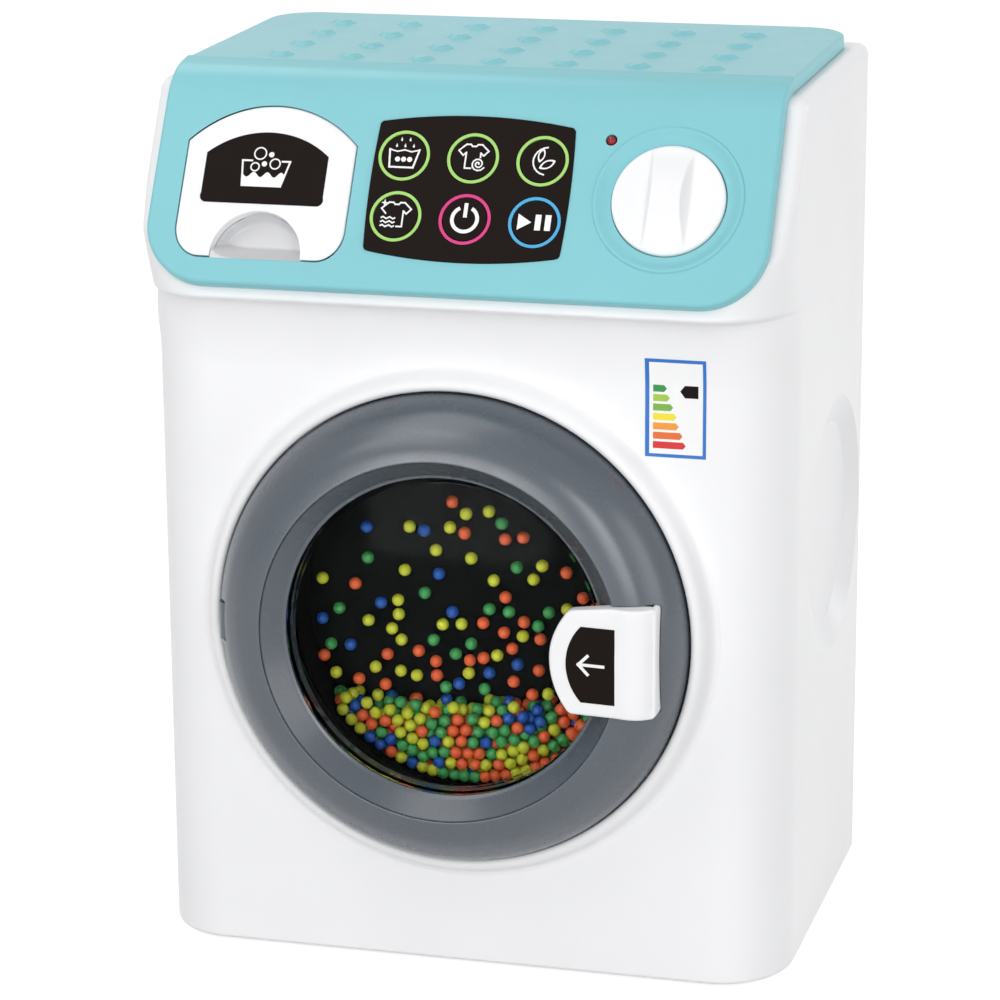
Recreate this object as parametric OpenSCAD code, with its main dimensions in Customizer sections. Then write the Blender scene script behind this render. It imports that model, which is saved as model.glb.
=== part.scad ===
// Battery-operated toy washing machine with an opening bull's-eye door,
// a turning bead drum, a detergent drawer, six keys and a selector knob.
// Millimetres. X to the right, Y to the back, Z up. Base of the feet at z = 0.

/* [Casing] */
// Width of the white casing
casing_width = 215; // [213:1:230]
// Depth of the casing from its flat front to its rear edge
casing_depth = 138.5; // [137:0.5:160]
// Height of the flat front, up to the start of the forward-leaning head
front_rise = 200; // [200:1:215]
// Wall of the moulded casing
wall = 2.5; // [2:0.1:2.7]
// Radius of the upright front corners seen from above
corner_radius = 24; // [22:0.5:26]
// How far the rubber feet stand out under the base
foot_drop = 1; // [0.6:0.1:3]
// Depth of the oval grip recess in each side wall
grip_depth = 4.5; // [3:0.25:5]

/* [Head cover] */
// White rim left visible beside the coloured cover
rim_width = 5.8; // [5:0.2:7]
// How far the coloured cover stands out of the casing
cover_proud = 5; // [4.6:0.1:5.6]
// Height of the moulded studs on the top
stud_height = 1.2; // [0.6:0.1:2]
// Sideways pitch of the studs
stud_pitch = 24.1; // [22:0.1:25]

/* [Door] */
// Height of the door centre over the casing base
door_height = 117.6; // [116.6:0.1:118.6]
// Outer radius of the door ring
ring_radius = 78.4; // [77.4:0.2:79]
// Gap between the door ring and the white lip round it
ring_gap = 0.5; // [0.4:0.1:0.8]
// Radius of the clear window that shows
window_radius = 53.1; // [51:0.1:53.5]
// Rise of the domed window
window_rise = 5; // [2:0.5:6]

/* [Drum] */
// Outer radius of the drum
drum_radius = 60; // [58:0.5:60.5]
// Depth of the bead chamber behind the clear disc
chamber_depth = 15; // [12:0.5:16]
// Diameter of the play beads
bead_size = 4.4; // [3.6:0.1:4.4]

/* [Controls] */
// Sideways pitch of the keys
key_pitch_x = 22.7; // [22:0.1:23]
// Pitch of the two rows of keys
key_pitch_y = 20.5; // [19.8:0.1:21]
// How far a key is pressed in
key_travel = 1.2; // [0.6:0.1:1.3]
// Radius of the selector knob
knob_radius = 18.15; // [17:0.05:18.4]
// Height of the grip bar over the knob face
knob_grip = 6; // [3:0.5:8]
// How far the detergent drawer pulls out
drawer_pull = 40; // [20:1:45]

/* [Hidden] */
$fn = 64;
half_w = casing_width / 2;
slope = 30.5;
tilt = 1.15;
turn = 90 - slope - tilt;
panel_y = -3.2;
panel_z = front_rise + 49.5;
rim_y = panel_y + cover_proud * cos(slope);
rim_z = panel_z - cover_proud * sin(slope);
top_z = front_rise + 88.8;
top_y = 27;
fit = 0.05;
// cover sheet: foot, bend and top, measured along the casing surface under it
foot_v = -22.8;
bend_r = 16;
corner_low = 21;
corner_rear = 16;
cover_half = half_w - rim_width;
cross_v = (top_z - rim_z + tan(tilt) * (rim_y - top_y)) / (cos(slope) - tan(tilt) * sin(slope));
bend_v = cross_v - bend_r * tan(turn / 2);
bend_cy = rim_y + bend_v * sin(slope) + bend_r * cos(slope);
bend_cz = rim_z + bend_v * cos(slope) - bend_r * sin(slope);
len_1 = bend_v - foot_v;
len_2 = bend_r * turn * PI / 180;
top_start_y = bend_cy - bend_r * sin(tilt);
top_start_z = bend_cz + bend_r * cos(tilt);
len_3 = (casing_depth - 0.2 - top_start_y) / cos(tilt);
len_all = len_1 + len_2 + len_3;
skin = 2.2;
// door and hinge
lip_in = ring_radius + ring_gap;
hinge_x = -(ring_radius - 4.9);
hinge_f = 13;
seat_hole = drum_radius + 2;
pocket_x1 = ring_radius - 6.4;
pocket_x0 = pocket_x1 - 13.1;
handle_right = pocket_x1 - 0.5;
handle_half = 18;
handle_mid = -1.1;
pocket_half = handle_half + 0.6;
pivot_x = handle_right - 6;
pivot_f = 17;
// drum and drive, measured backwards from the casing front
drum_front_y = 5;
chamber_y = drum_front_y + 2.2;
tub_back_y = chamber_y + chamber_depth + 2.4;
plate_y = 46;
gear_y = 52;
motor_y = 60;
gear_teeth = 60;
pinion_teeth = 12;
tooth_module = 1;
pressure = 25;
motor_drop = (gear_teeth + pinion_teeth) / 2 * tooth_module + 0.06;
post_x = 72;
post_z = 62;
// controls, in panel coordinates
keys_u = 4.15;
keys_v = 12.25;
dish_u = 68.5;
dish_v = 11.6;
dish_radius = 24.2;
led_u = 48;
led_v = 30.7;
drawer_u = -63.1;
drawer_half = 28.2;
scoop_u = -63.5;
scoop_v = -13.5;
scoop_r = 15.3;
board_h = -12;
stem_end = board_h + 4 + key_travel;
// shift that puts the origin under the middle of the whole object
front_reach = 28.4;
middle_shift = (front_reach - casing_depth) / 2;

front_casing();
rear_cover();
rubber_feet();
fascia_cover();
keypad_bezel();
key_rings_green();
key_ring_power();
key_ring_play();
key_1();
key_2();
key_3();
key_4();
key_5();
key_6();
icon_1();
icon_2();
icon_3();
icon_4();
icon_5();
icon_6();
status_lamp();
selector_knob();
knob_spindle();
rotary_switch();
circuit_board();
touch_switches();
drawer_front();
drawer_label();
drawer_mark();
drawer_grip();
drawer_tray();
drawer_guide();
door_ring();
door_window();
window_retainer();
hinge_bracket();
hinge_pin();
door_handle();
handle_label();
handle_mark();
handle_pin();
handle_spring();
drum_tub();
drum_disc();
drum_axle();
drum_gear();
axle_bush();
drive_frame();
motor_can();
motor_shaft();
motor_pinion();
beads_yellow();
beads_orange();
beads_green();
beads_blue();
battery_door();
battery_cells();
speaker();
case_screws();
front_sticker();

// everything is drawn with the flat casing front at y = 0 and its base at z = 0
module place() translate([0, middle_shift, foot_drop]) children();
// local z points forwards out of the casing front, local y up
module facing(x, z) translate([x, 0, z]) rotate([90, 0, 0]) children();
module door_frame() facing(0, door_height) children();
// local z points out of the sloping panel, local y up its slope
module panel(u, v) translate([u, panel_y + v * sin(slope), panel_z + v * cos(slope)])
  rotate([90 - slope, 0, 0]) children();
module mirrored() {
  children();
  mirror([1, 0, 0]) children();
}

// loft of horizontal outlines for the casing
function lean_y(z) = rim_y + (z - rim_z) * tan(slope);
cove = [[0, 0], [4, -0.3], [8, -0.8], [11, -1.4], [15, -2.5], [18, -3.6], [20.5, -5],
  [22.3, -6.9], [23.1, -9], [23.5, -10.4], [24.2, -11.4]];
round_x = [[-300, 0], [0, 0], [11, 0], [18, 1], [24, 1.5], [30, -3], [36, -11], [44, -18.5], [200, -18.5]];
round_y = [[-300, 27], [0, 26], [11, 25], [18, 28], [24, 35], [30, 28], [36, 21], [44, 14], [52, 9],
  [60, 6.5], [88, 6], [200, 6]];
function outer_y(d) = d <= 0 ? 0 : d < 24.3 ? lookup(d, cove) : lean_y(front_rise + d);
function corner_x(d) = corner_radius + lookup(d, round_x);
function corner_y(d) = lookup(d, round_y);
function tip(y, d) = tan(tilt) * (y - top_y) * min(1, max(0, (d - 60) / 24.8));
// one outline: [height over the head start, front y, corner x, corner y, half width]
function half_loop(r, n) = concat(
  [for (i = [0:n]) [r[4] - r[2] + r[2] * sin(90 * i / n), r[1] + r[3] * (1 - cos(90 * i / n))]],
  [[r[4], r[5]]]);
function loop_at(r, n) = let (h = half_loop(r, n), m = len(h)) concat(
  [for (p = h) [p[0], p[1], front_rise + r[0] + tip(p[1], r[0])]],
  [for (i = [0:m - 1]) [-h[m - 1 - i][0], h[m - 1 - i][1], front_rise + r[0] + tip(h[m - 1 - i][1], r[0])]]);
module loft(rings, n) {
  m = 2 * (n + 2);
  c = len(rings);
  polyhedron(
    points = [for (r = rings) each loop_at(r, n)],
    faces = concat(
      [[for (j = [0:m - 1]) j]],
      [for (k = [0:c - 2], j = [0:m - 1]) [k * m + j, (k + 1) * m + j, (k + 1) * m + (j + 1) % m]],
      [for (k = [0:c - 2], j = [0:m - 1]) [k * m + j, (k + 1) * m + (j + 1) % m, k * m + (j + 1) % m]],
      [[for (j = [0:m - 1]) (c - 1) * m + m - 1 - j]]));
}
function outer_ring(d) = [d, outer_y(d), corner_x(d), corner_y(d), half_w, casing_depth];
outer_steps = [0, 4, 8, 11, 15, 18, 20.5, 22.3, 23.1, 23.5, 24.2, 26, 28, 30, 32, 34, 36, 38, 41, 44, 48, 52, 60];
outer_rings = concat(
  [[-front_rise, 1.4, corner_radius - 1.4, 25, half_w - 1.4, casing_depth],
   [-front_rise + 0.5, 0.5, corner_radius - 0.5, 26, half_w - 0.5, casing_depth],
   [-front_rise + 1.6, 0, corner_radius, 27, half_w, casing_depth]],
  [for (d = outer_steps) outer_ring(d)],
  [for (a = [0, 22.5, 45, 67.5, 90]) let (d = 84.8 + 4 * sin(a)) [d,
    lean_y(front_rise + d) + 4.5 * pow(1 - cos(a), 1.6), corner_radius - 18.5, 6,
    half_w - 4 * (1 - cos(a)), casing_depth]]);
function inner_ring(d, y) = [d, y, max(2, corner_x(d) - wall), max(2, corner_y(d) - wall), half_w - wall,
  casing_depth + 5];
inner_rings = concat(
  [inner_ring(-front_rise + wall, wall), inner_ring(12, wall), inner_ring(26.5, wall)],
  [for (d = [31, 34, 38, 44, 52, 60, 84]) inner_ring(d, lean_y(front_rise + d) + wall / cos(slope))],
  [inner_ring(88.8 - wall, lean_y(front_rise + 88.8) + wall)]);

// sheet that follows the sloping panel, the bend and the top
function sheet_at(s, h) = s <= len_1 ?
    [rim_y + (foot_v + s) * sin(slope) - h * cos(slope), rim_z + (foot_v + s) * cos(slope) + h * sin(slope)]
  : s <= len_1 + len_2 ? let (a = slope + (s - len_1) / bend_r * 180 / PI)
    [bend_cy - (bend_r + h) * cos(a), bend_cz + (bend_r + h) * sin(a)]
  : [top_start_y + (s - len_1 - len_2) * cos(tilt) - h * sin(tilt),
     top_start_z + (s - len_1 - len_2) * sin(tilt) + h * cos(tilt)];
function sheet_side(t) = concat(
  [for (a = [0:15:90]) [cover_half - corner_low + (corner_low - t) * sin(a), corner_low - (corner_low - t) * cos(a)]],
  [for (k = [0:8]) [cover_half - t, len_1 + len_2 * k / 8]],
  [for (a = [0:15:90]) [cover_half - corner_rear + (corner_rear - t) * cos(a),
    len_all - corner_rear + (corner_rear - t) * sin(a)]]);
function sheet_loop(t, h) = let (q = sheet_side(t), n = len(q)) concat(
  [for (p = q) let (w = sheet_at(p[1], h)) [p[0], w[0], w[1]]],
  [for (i = [0:n - 1]) let (p = q[n - 1 - i], w = sheet_at(p[1], h)) [-p[0], w[0], w[1]]]);
module sheet(levels) {
  n = len(sheet_side(0));
  m = 2 * n;
  c = len(levels);
  polyhedron(
    points = [for (l = levels) each sheet_loop(l[0], l[1])],
    faces = concat(
      [for (i = [0:n - 2]) [i, i + 1, m - 2 - i, m - 1 - i]],
      [for (k = [0:c - 2], j = [0:m - 1]) [k * m + j, (k + 1) * m + j, (k + 1) * m + (j + 1) % m]],
      [for (k = [0:c - 2], j = [0:m - 1]) [k * m + j, (k + 1) * m + (j + 1) % m, k * m + (j + 1) % m]],
      [for (i = [0:n - 2]) [(c - 1) * m + m - 1 - i, (c - 1) * m + m - 2 - i, (c - 1) * m + i + 1, (c - 1) * m + i]]));
}

// casing
module oval(x0, x1, y, z, ry, rz) translate([x0, y, z]) rotate([90, 0, 90])
  linear_extrude(x1 - x0) scale([ry, rz]) circle(r = 1, $fn = 40);
module grip_dish(grow, deep) hull() {
  oval(half_w - 0.2 - (grow > 0 ? 1 : 0), half_w + (grow > 0 ? -0.5 : 1),
    casing_depth - 50.5, 135, 48.5 + grow, 43.5 + grow);
  oval(half_w - deep, half_w - deep + 0.2, casing_depth - 41.5, 133, 35 + grow, 34 + grow);
}
lip_profile = [[lip_in, -0.1], [lip_in, 7], [lip_in + 0.4, 7.6], [lip_in + 1.2, 8], [lip_in + 2.2, 7.9],
  [lip_in + 3.2, 7.2], [lip_in + 4.2, 5.6], [lip_in + 5.1, 3], [lip_in + 5.6, -0.1]];
screw_z = [16, front_rise + 8, front_rise + 74];
screw_x = half_w - wall - 3.6;
module front_casing() color([0.96, 0.96, 0.97]) place() difference() {
  union() {
    difference() {
      union() {
        loft(outer_rings, 8);
        door_frame() rotate_extrude($fn = 96) polygon(lip_profile);
      }
      loft(inner_rings, 8);
      sheet([[6.5, -9], [6.5, 1]]);
      sheet([[-0.05, -0.03], [-0.05, 7]]);
    }
    intersection() {
      mirrored() grip_dish(2.2, grip_depth + wall);
      translate([-half_w + 0.5, 1, 1]) cube([casing_width - 1, casing_depth - wall - 1, 200]);
    }
    for (sx = [-1, 1], sz = [-1, 1]) facing(sx * post_x, door_height + sz * post_z)
      translate([0, 0, -plate_y]) cylinder(r = 5, h = plate_y - wall + 0.5);
    for (sx = [-1, 1], z = screw_z) facing(sx * screw_x, z)
      translate([0, 0, -casing_depth + wall]) cylinder(r = 4.2, h = 40);
  }
  mirrored() grip_dish(0, grip_depth);
  door_frame() translate([0, 0, -wall - 1]) cylinder(r = seat_hole, h = wall + 2, $fn = 96);
  // hinge slot and latch slot in the door seat
  translate([hinge_x - 3.6, -1, door_height - 6.8]) cube([8.2, wall + 2, 13.6]);
  translate([seat_hole - 3, -1, door_height - 6.5]) cube([handle_right + 0.9 - seat_hole + 3, wall + 2, 13]);
  for (sx = [-1, 1], sz = [-1, 1]) facing(sx * post_x, door_height + sz * post_z)
    translate([0, 0, -plate_y - 1]) cylinder(r = 1.55, h = 15);
  for (sx = [-1, 1], z = screw_z) facing(sx * screw_x, z)
    translate([0, 0, -casing_depth]) cylinder(r = 1.55, h = 16);
  for (sx = [-1, 1], y = [20, casing_depth - 18]) translate([sx * (half_w - 22), y, -1]) cylinder(r = 3.05, h = wall + 2);
}
module rubber_feet() color([0.75, 0.76, 0.78]) place()
  for (sx = [-1, 1], y = [20, casing_depth - 18]) translate([sx * (half_w - 22), y, 0]) {
    translate([0, 0, -foot_drop]) cylinder(r = 8, h = foot_drop);
    cylinder(r = 3, h = wall + 1);
  }

// rear cover with battery bay
bay_half = 31;
bay_low = 10;
bay_high = 58;
bay_deep = 17;
cover_high = top_z - wall + tan(tilt) * (casing_depth - wall - top_y) - 0.3;
module rear_cover() color([0.93, 0.93, 0.94]) place() difference() {
  union() {
    difference() {
      translate([-half_w + wall + 0.2, casing_depth - wall, wall + 0.2])
        cube([casing_width - 2 * wall - 0.4, wall, cover_high - wall - 0.2]);
      // narrow vent slots and a ring of speaker holes
      for (k = [-3:3]) translate([k * 9 - 1.5, casing_depth - wall - 1, 88]) cube([3, wall + 2, 26]);
      facing(0, 160) for (a = [0:60:300]) rotate(a) translate([9, 0, -casing_depth - 1]) cylinder(r = 2, h = wall + 2);
      facing(0, 160) translate([0, 0, -casing_depth - 1]) cylinder(r = 2, h = wall + 2);
    }
    translate([-bay_half - 1.6, casing_depth - wall - bay_deep, bay_low - 1.6])
      cube([2 * bay_half + 3.2, bay_deep + wall, bay_high - bay_low + 3.2]);
    facing(0, 160) translate([0, 0, -casing_depth + wall]) difference() {
      cylinder(r = 21.5, h = 8);
      translate([0, 0, -1]) cylinder(r = 20.2, h = 10);
    }
  }
  translate([-bay_half, casing_depth - wall - bay_deep + 1.6, bay_low])
    cube([2 * bay_half, bay_deep + wall, bay_high - bay_low]);
  for (sx = [-1, 1], z = screw_z) facing(sx * screw_x, z) translate([0, 0, -casing_depth - 1]) {
    cylinder(r = 1.65, h = wall + 2);
    cylinder(r = 3.2, h = 2.2);
  }
}
module battery_door() color([0.9, 0.9, 0.91]) place() difference() {
  translate([-bay_half + 0.2, casing_depth - 1.8, bay_low + 0.2]) cube([2 * bay_half - 0.4, 1.8, bay_high - bay_low - 0.4]);
  for (k = [-2:2]) translate([k * 5 - 1, casing_depth - 0.6, bay_high - 12]) cube([2, 2, 7]);
}
module battery_cells() color([0.72, 0.7, 0.4]) place()
  for (k = [0:2]) translate([-25.2, casing_depth - wall - bay_deep + 1.6 + 7.3, bay_low + 8.4 + 15.6 * k]) rotate([0, 90, 0]) {
    cylinder(r = 7.2, h = 49.4);
    translate([0, 0, 49.4]) cylinder(r = 2.6, h = 1.1);
  }
module case_screws() color([0.7, 0.71, 0.73]) place() {
  for (sx = [-1, 1], z = screw_z) facing(sx * screw_x, z) translate([0, 0, -casing_depth]) {
    translate([0, 0, 0.1]) cylinder(r = 3, h = 1.1);
    translate([0, 0, 1.2]) cylinder(r = 1.5, h = 12);
  }
  for (sx = [-1, 1], sz = [-1, 1]) facing(sx * post_x, door_height + sz * post_z) translate([0, 0, -plate_y - 4.2]) {
    cylinder(r = 3, h = 1.2);
    translate([0, 0, 1.2]) cylinder(r = 1.5, h = 12);
  }
}
module speaker() color([0.2, 0.2, 0.22]) place() facing(0, 160) translate([0, 0, -casing_depth + wall]) {
  difference() {
    cylinder(r = 20, h = 3);
    translate([0, 0, -1]) cylinder(r1 = 17, r2 = 12, h = 3.5);
  }
  translate([0, 0, 3]) cylinder(r1 = 19, r2 = 12, h = 4);
  translate([0, 0, 7]) cylinder(r = 11, h = 5);
}
// its lower left corner clears the lip round the door by a fixed distance
sticker_away = lip_in + 7.45;
sticker_x = sticker_away * cos(44);
sticker_low = door_height + sticker_away * sin(44) - front_rise;
sticker_wide = 19.7;
sticker_high = 32;
sticker_line = [for (k = [0, 0.7, 0.825, 0.95, 1]) let (d = sticker_low + sticker_high * k) [outer_y(d), front_rise + d]];
module front_sticker() color([0.2, 0.45, 0.75]) place() translate([sticker_x, 0, 0]) rotate([90, 0, 90])
  linear_extrude(sticker_wide) polygon(concat([for (p = sticker_line) [p[0] - 0.01, p[1]]],
    [for (i = [0:4]) [sticker_line[4 - i][0] - 0.14, sticker_line[4 - i][1]]]));

// coloured head cover
cover_levels = concat([[0, 0], [0, cover_proud - 2.5]],
  [for (a = [22.5, 45, 67.5, 90]) [2.5 * (1 - cos(a)), cover_proud - 2.5 + 2.5 * sin(a)]]);
crease_y = 36.2;
stud_rows = [47.3, 69.9, 92.5, 115.1];
function cover_top(y) = top_start_z + (y - top_start_y) * tan(tilt) + cover_proud / cos(tilt);
module drawer_shape(g) intersection() {
  union() {
    translate([-drawer_half - g, -3.26]) square([2 * drawer_half + 2 * g, 60]);
    translate([-drawer_half + 8.8, -12.06 - g]) square([2 * drawer_half - 17.6, 20]);
    for (s = [-1, 1]) translate([s * (drawer_half - 8.8), -3.26]) circle(r = 8.8 + g);
  }
  translate([0, -9.9]) circle(r = 42.2 + g, $fn = 96);
}
module drawer_column(g, y0, y1) translate([drawer_u, y1, panel_z]) rotate([90, 0, 0])
  linear_extrude(y1 - y0) drawer_shape(g);
module panel_slab(h0, h1) panel(0, 0) translate([-140, -60, h0]) cube([280, 140, h1 - h0]);
module keypad_shape(g) intersection() {
  for (s = [-1, 1]) intersection() {
    translate([0, s * (24.5 - 178)]) circle(r = 178 + g, $fn = 180);
    translate([s * (32.7 - 292), 0]) circle(r = 292 + g, $fn = 180);
    translate([0, -s * (24.5 - 178)]) circle(r = 178 + g, $fn = 180);
    translate([-s * (32.7 - 292), 0]) circle(r = 292 + g, $fn = 180);
    circle(r = 38.1 + g, $fn = 96);
  }
}
dish_rim = [[0, -2], [dish_radius, -2], [dish_radius, 0.3], [dish_radius - 0.15, 0.6],
  [dish_radius - 0.5, 0.75], [0, 0.75]];
dish_cut = [[0, -3.9], [knob_radius + 0.3, -3.9], [knob_radius + 0.3, -1.1], [knob_radius + 1.4, -1],
  [knob_radius + 2.8, -0.65], [knob_radius + 4, -0.05], [dish_radius - 1, 0.6], [dish_radius - 0.6, 0.8], [0, 0.8]];
module fascia_cover() color([0.52, 0.81, 0.83]) place() difference() {
  union() {
    difference() {
      sheet(cover_levels);
      sheet([[skin, -1], [skin, cover_proud - skin]]);
    }
    panel(dish_u, dish_v) {
      translate([0, 0, -5.9]) cylinder(r = dish_radius + 1.8, h = 5);
      rotate_extrude($fn = 96) polygon(dish_rim);
    }
    // raised band along the crease and the rows of pointed studs
    translate([-cover_half + 3, crease_y, cover_top(crease_y) - 1.9]) rotate([0, 90, 0])
      cylinder(r = 2.5, h = 2 * cover_half - 6);
    for (y = stud_rows, k = [-3:3]) translate([k * stud_pitch, y, cover_top(y) - 0.3]) rotate([tilt, 0, 0])
      cylinder(r1 = 4.85, r2 = 2.5, h = stud_height + 0.3, $fn = 6);
  }
  panel(dish_u, dish_v) {
    rotate_extrude($fn = 96) polygon(dish_cut);
    translate([0, 0, -8]) cylinder(r = 5.6, h = 6);
  }
  panel(keys_u, keys_v) translate([0, 0, -skin - 1]) linear_extrude(skin + 2) keypad_shape(0.15);
  panel(led_u, led_v) translate([0, 0, -skin - 1]) cylinder(r = 1.9, h = skin + 2);
  intersection() {
    drawer_column(0.45, -40, 40);
    panel_slab(-skin - 1, 2);
  }
}

// keys
function key_u(k) = keys_u + ((k % 3) - 1) * key_pitch_x;
function key_v(k) = keys_v + (k < 3 ? 0.5 : -0.5) * key_pitch_y;
module keypad_bezel() color([0.14, 0.1, 0.09]) place() difference() {
  union() {
    panel(keys_u, keys_v) translate([0, 0, -skin - 0.05]) linear_extrude(skin + 0.65) keypad_shape(0);
    panel(keys_u, keys_v) translate([-35.5, -26.5, -skin - 1.4]) cube([71, 53, 1.35]);
  }
  for (k = [0:5]) panel(key_u(k), key_v(k)) {
    translate([0, 0, -skin - 3]) cylinder(r = 7.5, h = skin + 5);
    cylinder(r = 8.45, h = 2);
  }
}
module key_ring(k) panel(key_u(k), key_v(k)) difference() {
  cylinder(r = 8.45, h = 0.65);
  translate([0, 0, -1]) cylinder(r = 7.45, h = 3);
}
module key_rings_green() color([0.59, 0.8, 0.4]) place() for (k = [0:3]) key_ring(k);
module key_ring_power() color([0.84, 0.16, 0.49]) place() key_ring(4);
module key_ring_play() color([0.24, 0.65, 0.84]) place() key_ring(5);
module key_cap(k) color([0.14, 0.1, 0.09]) place() panel(key_u(k), key_v(k)) {
  translate([0, 0, -skin - 2]) cylinder(r = 7.15, h = skin + 2.65);
  translate([0, 0, -skin - 2.8]) cylinder(r = 8.6, h = 1.1);
  translate([0, 0, stem_end]) cylinder(r = 2.2, h = -skin - 2.6 - stem_end);
}
module key_1() key_cap(0);
module key_2() key_cap(1);
module key_3() key_cap(2);
module key_4() key_cap(3);
module key_5() key_cap(4);
module key_6() key_cap(5);
module print_on(k) color([0.95, 0.95, 0.95]) place() panel(key_u(k), key_v(k)) translate([0, 0, 0.65])
  linear_extrude(0.12) children();
module stroke(a, b, w) {
  d = b - a;
  translate(a) rotate(atan2(d[1], d[0])) translate([-w / 2, -w / 2]) square([norm(d) + w, w]);
}
module path(pts, w) for (i = [0:len(pts) - 2]) stroke(pts[i], pts[i + 1], w);
module drop(x, y, s) translate([x, y]) {
  circle(r = 0.34 * s, $fn = 16);
  polygon([[-0.3 * s, 0.12 * s], [0, 1 * s], [0.3 * s, 0.12 * s]]);
}
tub_line = [[-4.9, 2], [-4.4, -4], [3.4, -4], [4.9, 2]];
tub_wave = [for (i = [0:8]) [-4.6 + 9.2 * i / 8, 1.6 + 0.28 * cos(i * 90)]];
shirt = [[-2.4, -2.6], [-2.4, 1.8], [-3.4, 0.9], [-4.9, 2.5], [-2.6, 4.6], [-1.2, 4.6], [-0.6, 4], [0.6, 4],
  [1.2, 4.6], [2.6, 4.6], [4.9, 2.5], [3.4, 0.9], [2.4, 1.8]];
module icon_1() print_on(0) {
  path(tub_line, 0.6);
  path(tub_wave, 0.45);
  for (x = [-2, 0, 2]) translate([x, -1.3]) circle(r = 0.85, $fn = 20);
  for (x = [-1.4, 1.4]) drop(x, 5.2, 1);
  for (x = [-2.8, 0, 2.8]) drop(x, 3.1, 1);
}
module icon_2() print_on(1) {
  path(concat([[-0.4, -3.4], [-2.4, -3.4]], shirt, [[2.4, 0.4]]), 0.5);
  path([for (a = [0:30:690]) [1.9 + (0.25 + a / 330) * cos(a), -1.9 + (0.25 + a / 330) * sin(a)]], 0.45);
}
module leaf(a, b) intersection_for(s = [-1, 1])
  translate([0, s * (a * a - b * b) / b / 2]) circle(r = (a * a - b * b) / b / 2 + b, $fn = 96);
module open_leaf(a, b) difference() {
  leaf(a, b);
  leaf(a - 0.85, b - 0.42);
}
module icon_3() print_on(2) {
  path([for (a = [95:15:265]) [1.6 + 4.6 * cos(a), 4.6 * sin(a)]], 0.5);
  translate([1.7, -1.1]) rotate(28) open_leaf(2.9, 1.35);
  translate([-0.5, 1.9]) rotate(78) open_leaf(2.5, 1.15);
}
module icon_4() print_on(3) {
  path([for (i = [5:12]) shirt[i]], 0.5);
  path([shirt[2], shirt[3], shirt[4], shirt[5]], 0.5);
  path([[2.4, 1.8], [2.4, -3.4], [0.7, -3.4]], 0.5);
  for (k = [0:2]) path([for (i = [0:8]) [-4.6 + i * 0.55, -0.6 - 1.35 * k + 0.3 * sin(i * 90)]], 0.45);
  translate([-4.1, 4.4]) rotate(0) polygon([[0, 1.3], [0.3, 0.3], [1.1, 0], [0.3, -0.3], [0, -1.3], [-0.3, -0.3], [-1.1, 0], [-0.3, 0.3]]);
}
module icon_5() print_on(4) {
  difference() {
    circle(r = 4.7);
    circle(r = 3.5);
    polygon([[0, 0], [-3.2, 6], [3.2, 6]]);
  }
  translate([-0.6, 0.6]) square([1.2, 4.8]);
}
module icon_6() print_on(5) {
  polygon([[-5.4, -2.7], [-5.4, 2.7], [-1, 0]]);
  translate([0.2, -2.6]) square([1.9, 5.2]);
  translate([3.4, -2.6]) square([1.9, 5.2]);
}
module status_lamp() color([0.75, 0.08, 0.1]) place() panel(led_u, led_v) {
  translate([0, 0, board_h]) cylinder(r = 1.55, h = -board_h - 0.9);
  translate([0, 0, -0.9]) sphere(r = 1.55);
}

// board, switches and selector
module circuit_board() color([0.1, 0.35, 0.2]) place() panel(0, 0) difference() {
  translate([-33, -13, board_h - 1.6]) cube([126, 52, 1.6]);
  translate([-28, -9, board_h - 3]) cylinder(r = 1.6, h = 5);
  translate([88, 34, board_h - 3]) cylinder(r = 1.6, h = 5);
}
module touch_switches() color([0.25, 0.25, 0.27]) place() for (k = [0:5]) panel(key_u(k), key_v(k)) {
  translate([-3, -3, board_h]) cube([6, 6, 3.4]);
  translate([0, 0, board_h + 3.4]) cylinder(r = 1.7, h = 0.35);
}
module rotary_switch() color([0.3, 0.3, 0.33]) place() panel(dish_u, dish_v) difference() {
  translate([-8, -8, board_h]) cube([16, 16, 4.6]);
  translate([0, 0, board_h + 1]) cylinder(r = 3.05, h = 10);
}
module knob_spindle() color([0.7, 0.71, 0.73]) place() panel(dish_u, dish_v) difference() {
  translate([0, 0, board_h + 1.3]) cylinder(r = 3, h = -board_h - 1.6);
  translate([-4, 1.8, -4.9]) cube([8, 4, 6]);
}
knob_face = 0.4;
grip_long = 14;
grip_half = 5.5;
flank_r = 8.6;
arch_r = (grip_long * grip_long + knob_grip * knob_grip) / knob_grip / 2;
scoop_x = sqrt(flank_r * flank_r - pow(flank_r + 0.1 - knob_grip, 2));
module selector_knob() color([0.97, 0.97, 0.97]) place() panel(dish_u, dish_v) difference() {
  union() {
    rotate_extrude($fn = 96) polygon([[0, -3.4], [knob_radius - 0.4, -3.4], [knob_radius, -3],
      [knob_radius, -0.1], [knob_radius - 0.25, 0.25], [knob_radius - 0.7, knob_face], [0, knob_face]]);
    translate([0, 0, -6.2]) cylinder(r = 5.2, h = 4);
    // arched bar between two scooped flanks
    difference() {
      intersection() {
        translate([0, 0, -1]) cylinder(r = grip_long, h = 20, $fn = 96);
        translate([-20, 0, knob_face + knob_grip - arch_r]) rotate([0, 90, 0]) cylinder(r = arch_r, h = 40, $fn = 128);
      }
      for (s = [-1, 1]) translate([s * (grip_half + scoop_x), 20, knob_face + 0.1 + flank_r])
        rotate([90, 0, 0]) cylinder(r = flank_r, h = 40);
      translate([-30, -30, -12]) cube([60, 60, 12]);
    }
  }
  translate([0, 0, -7]) cylinder(r = 3.02, h = 6.8);
}

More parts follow.
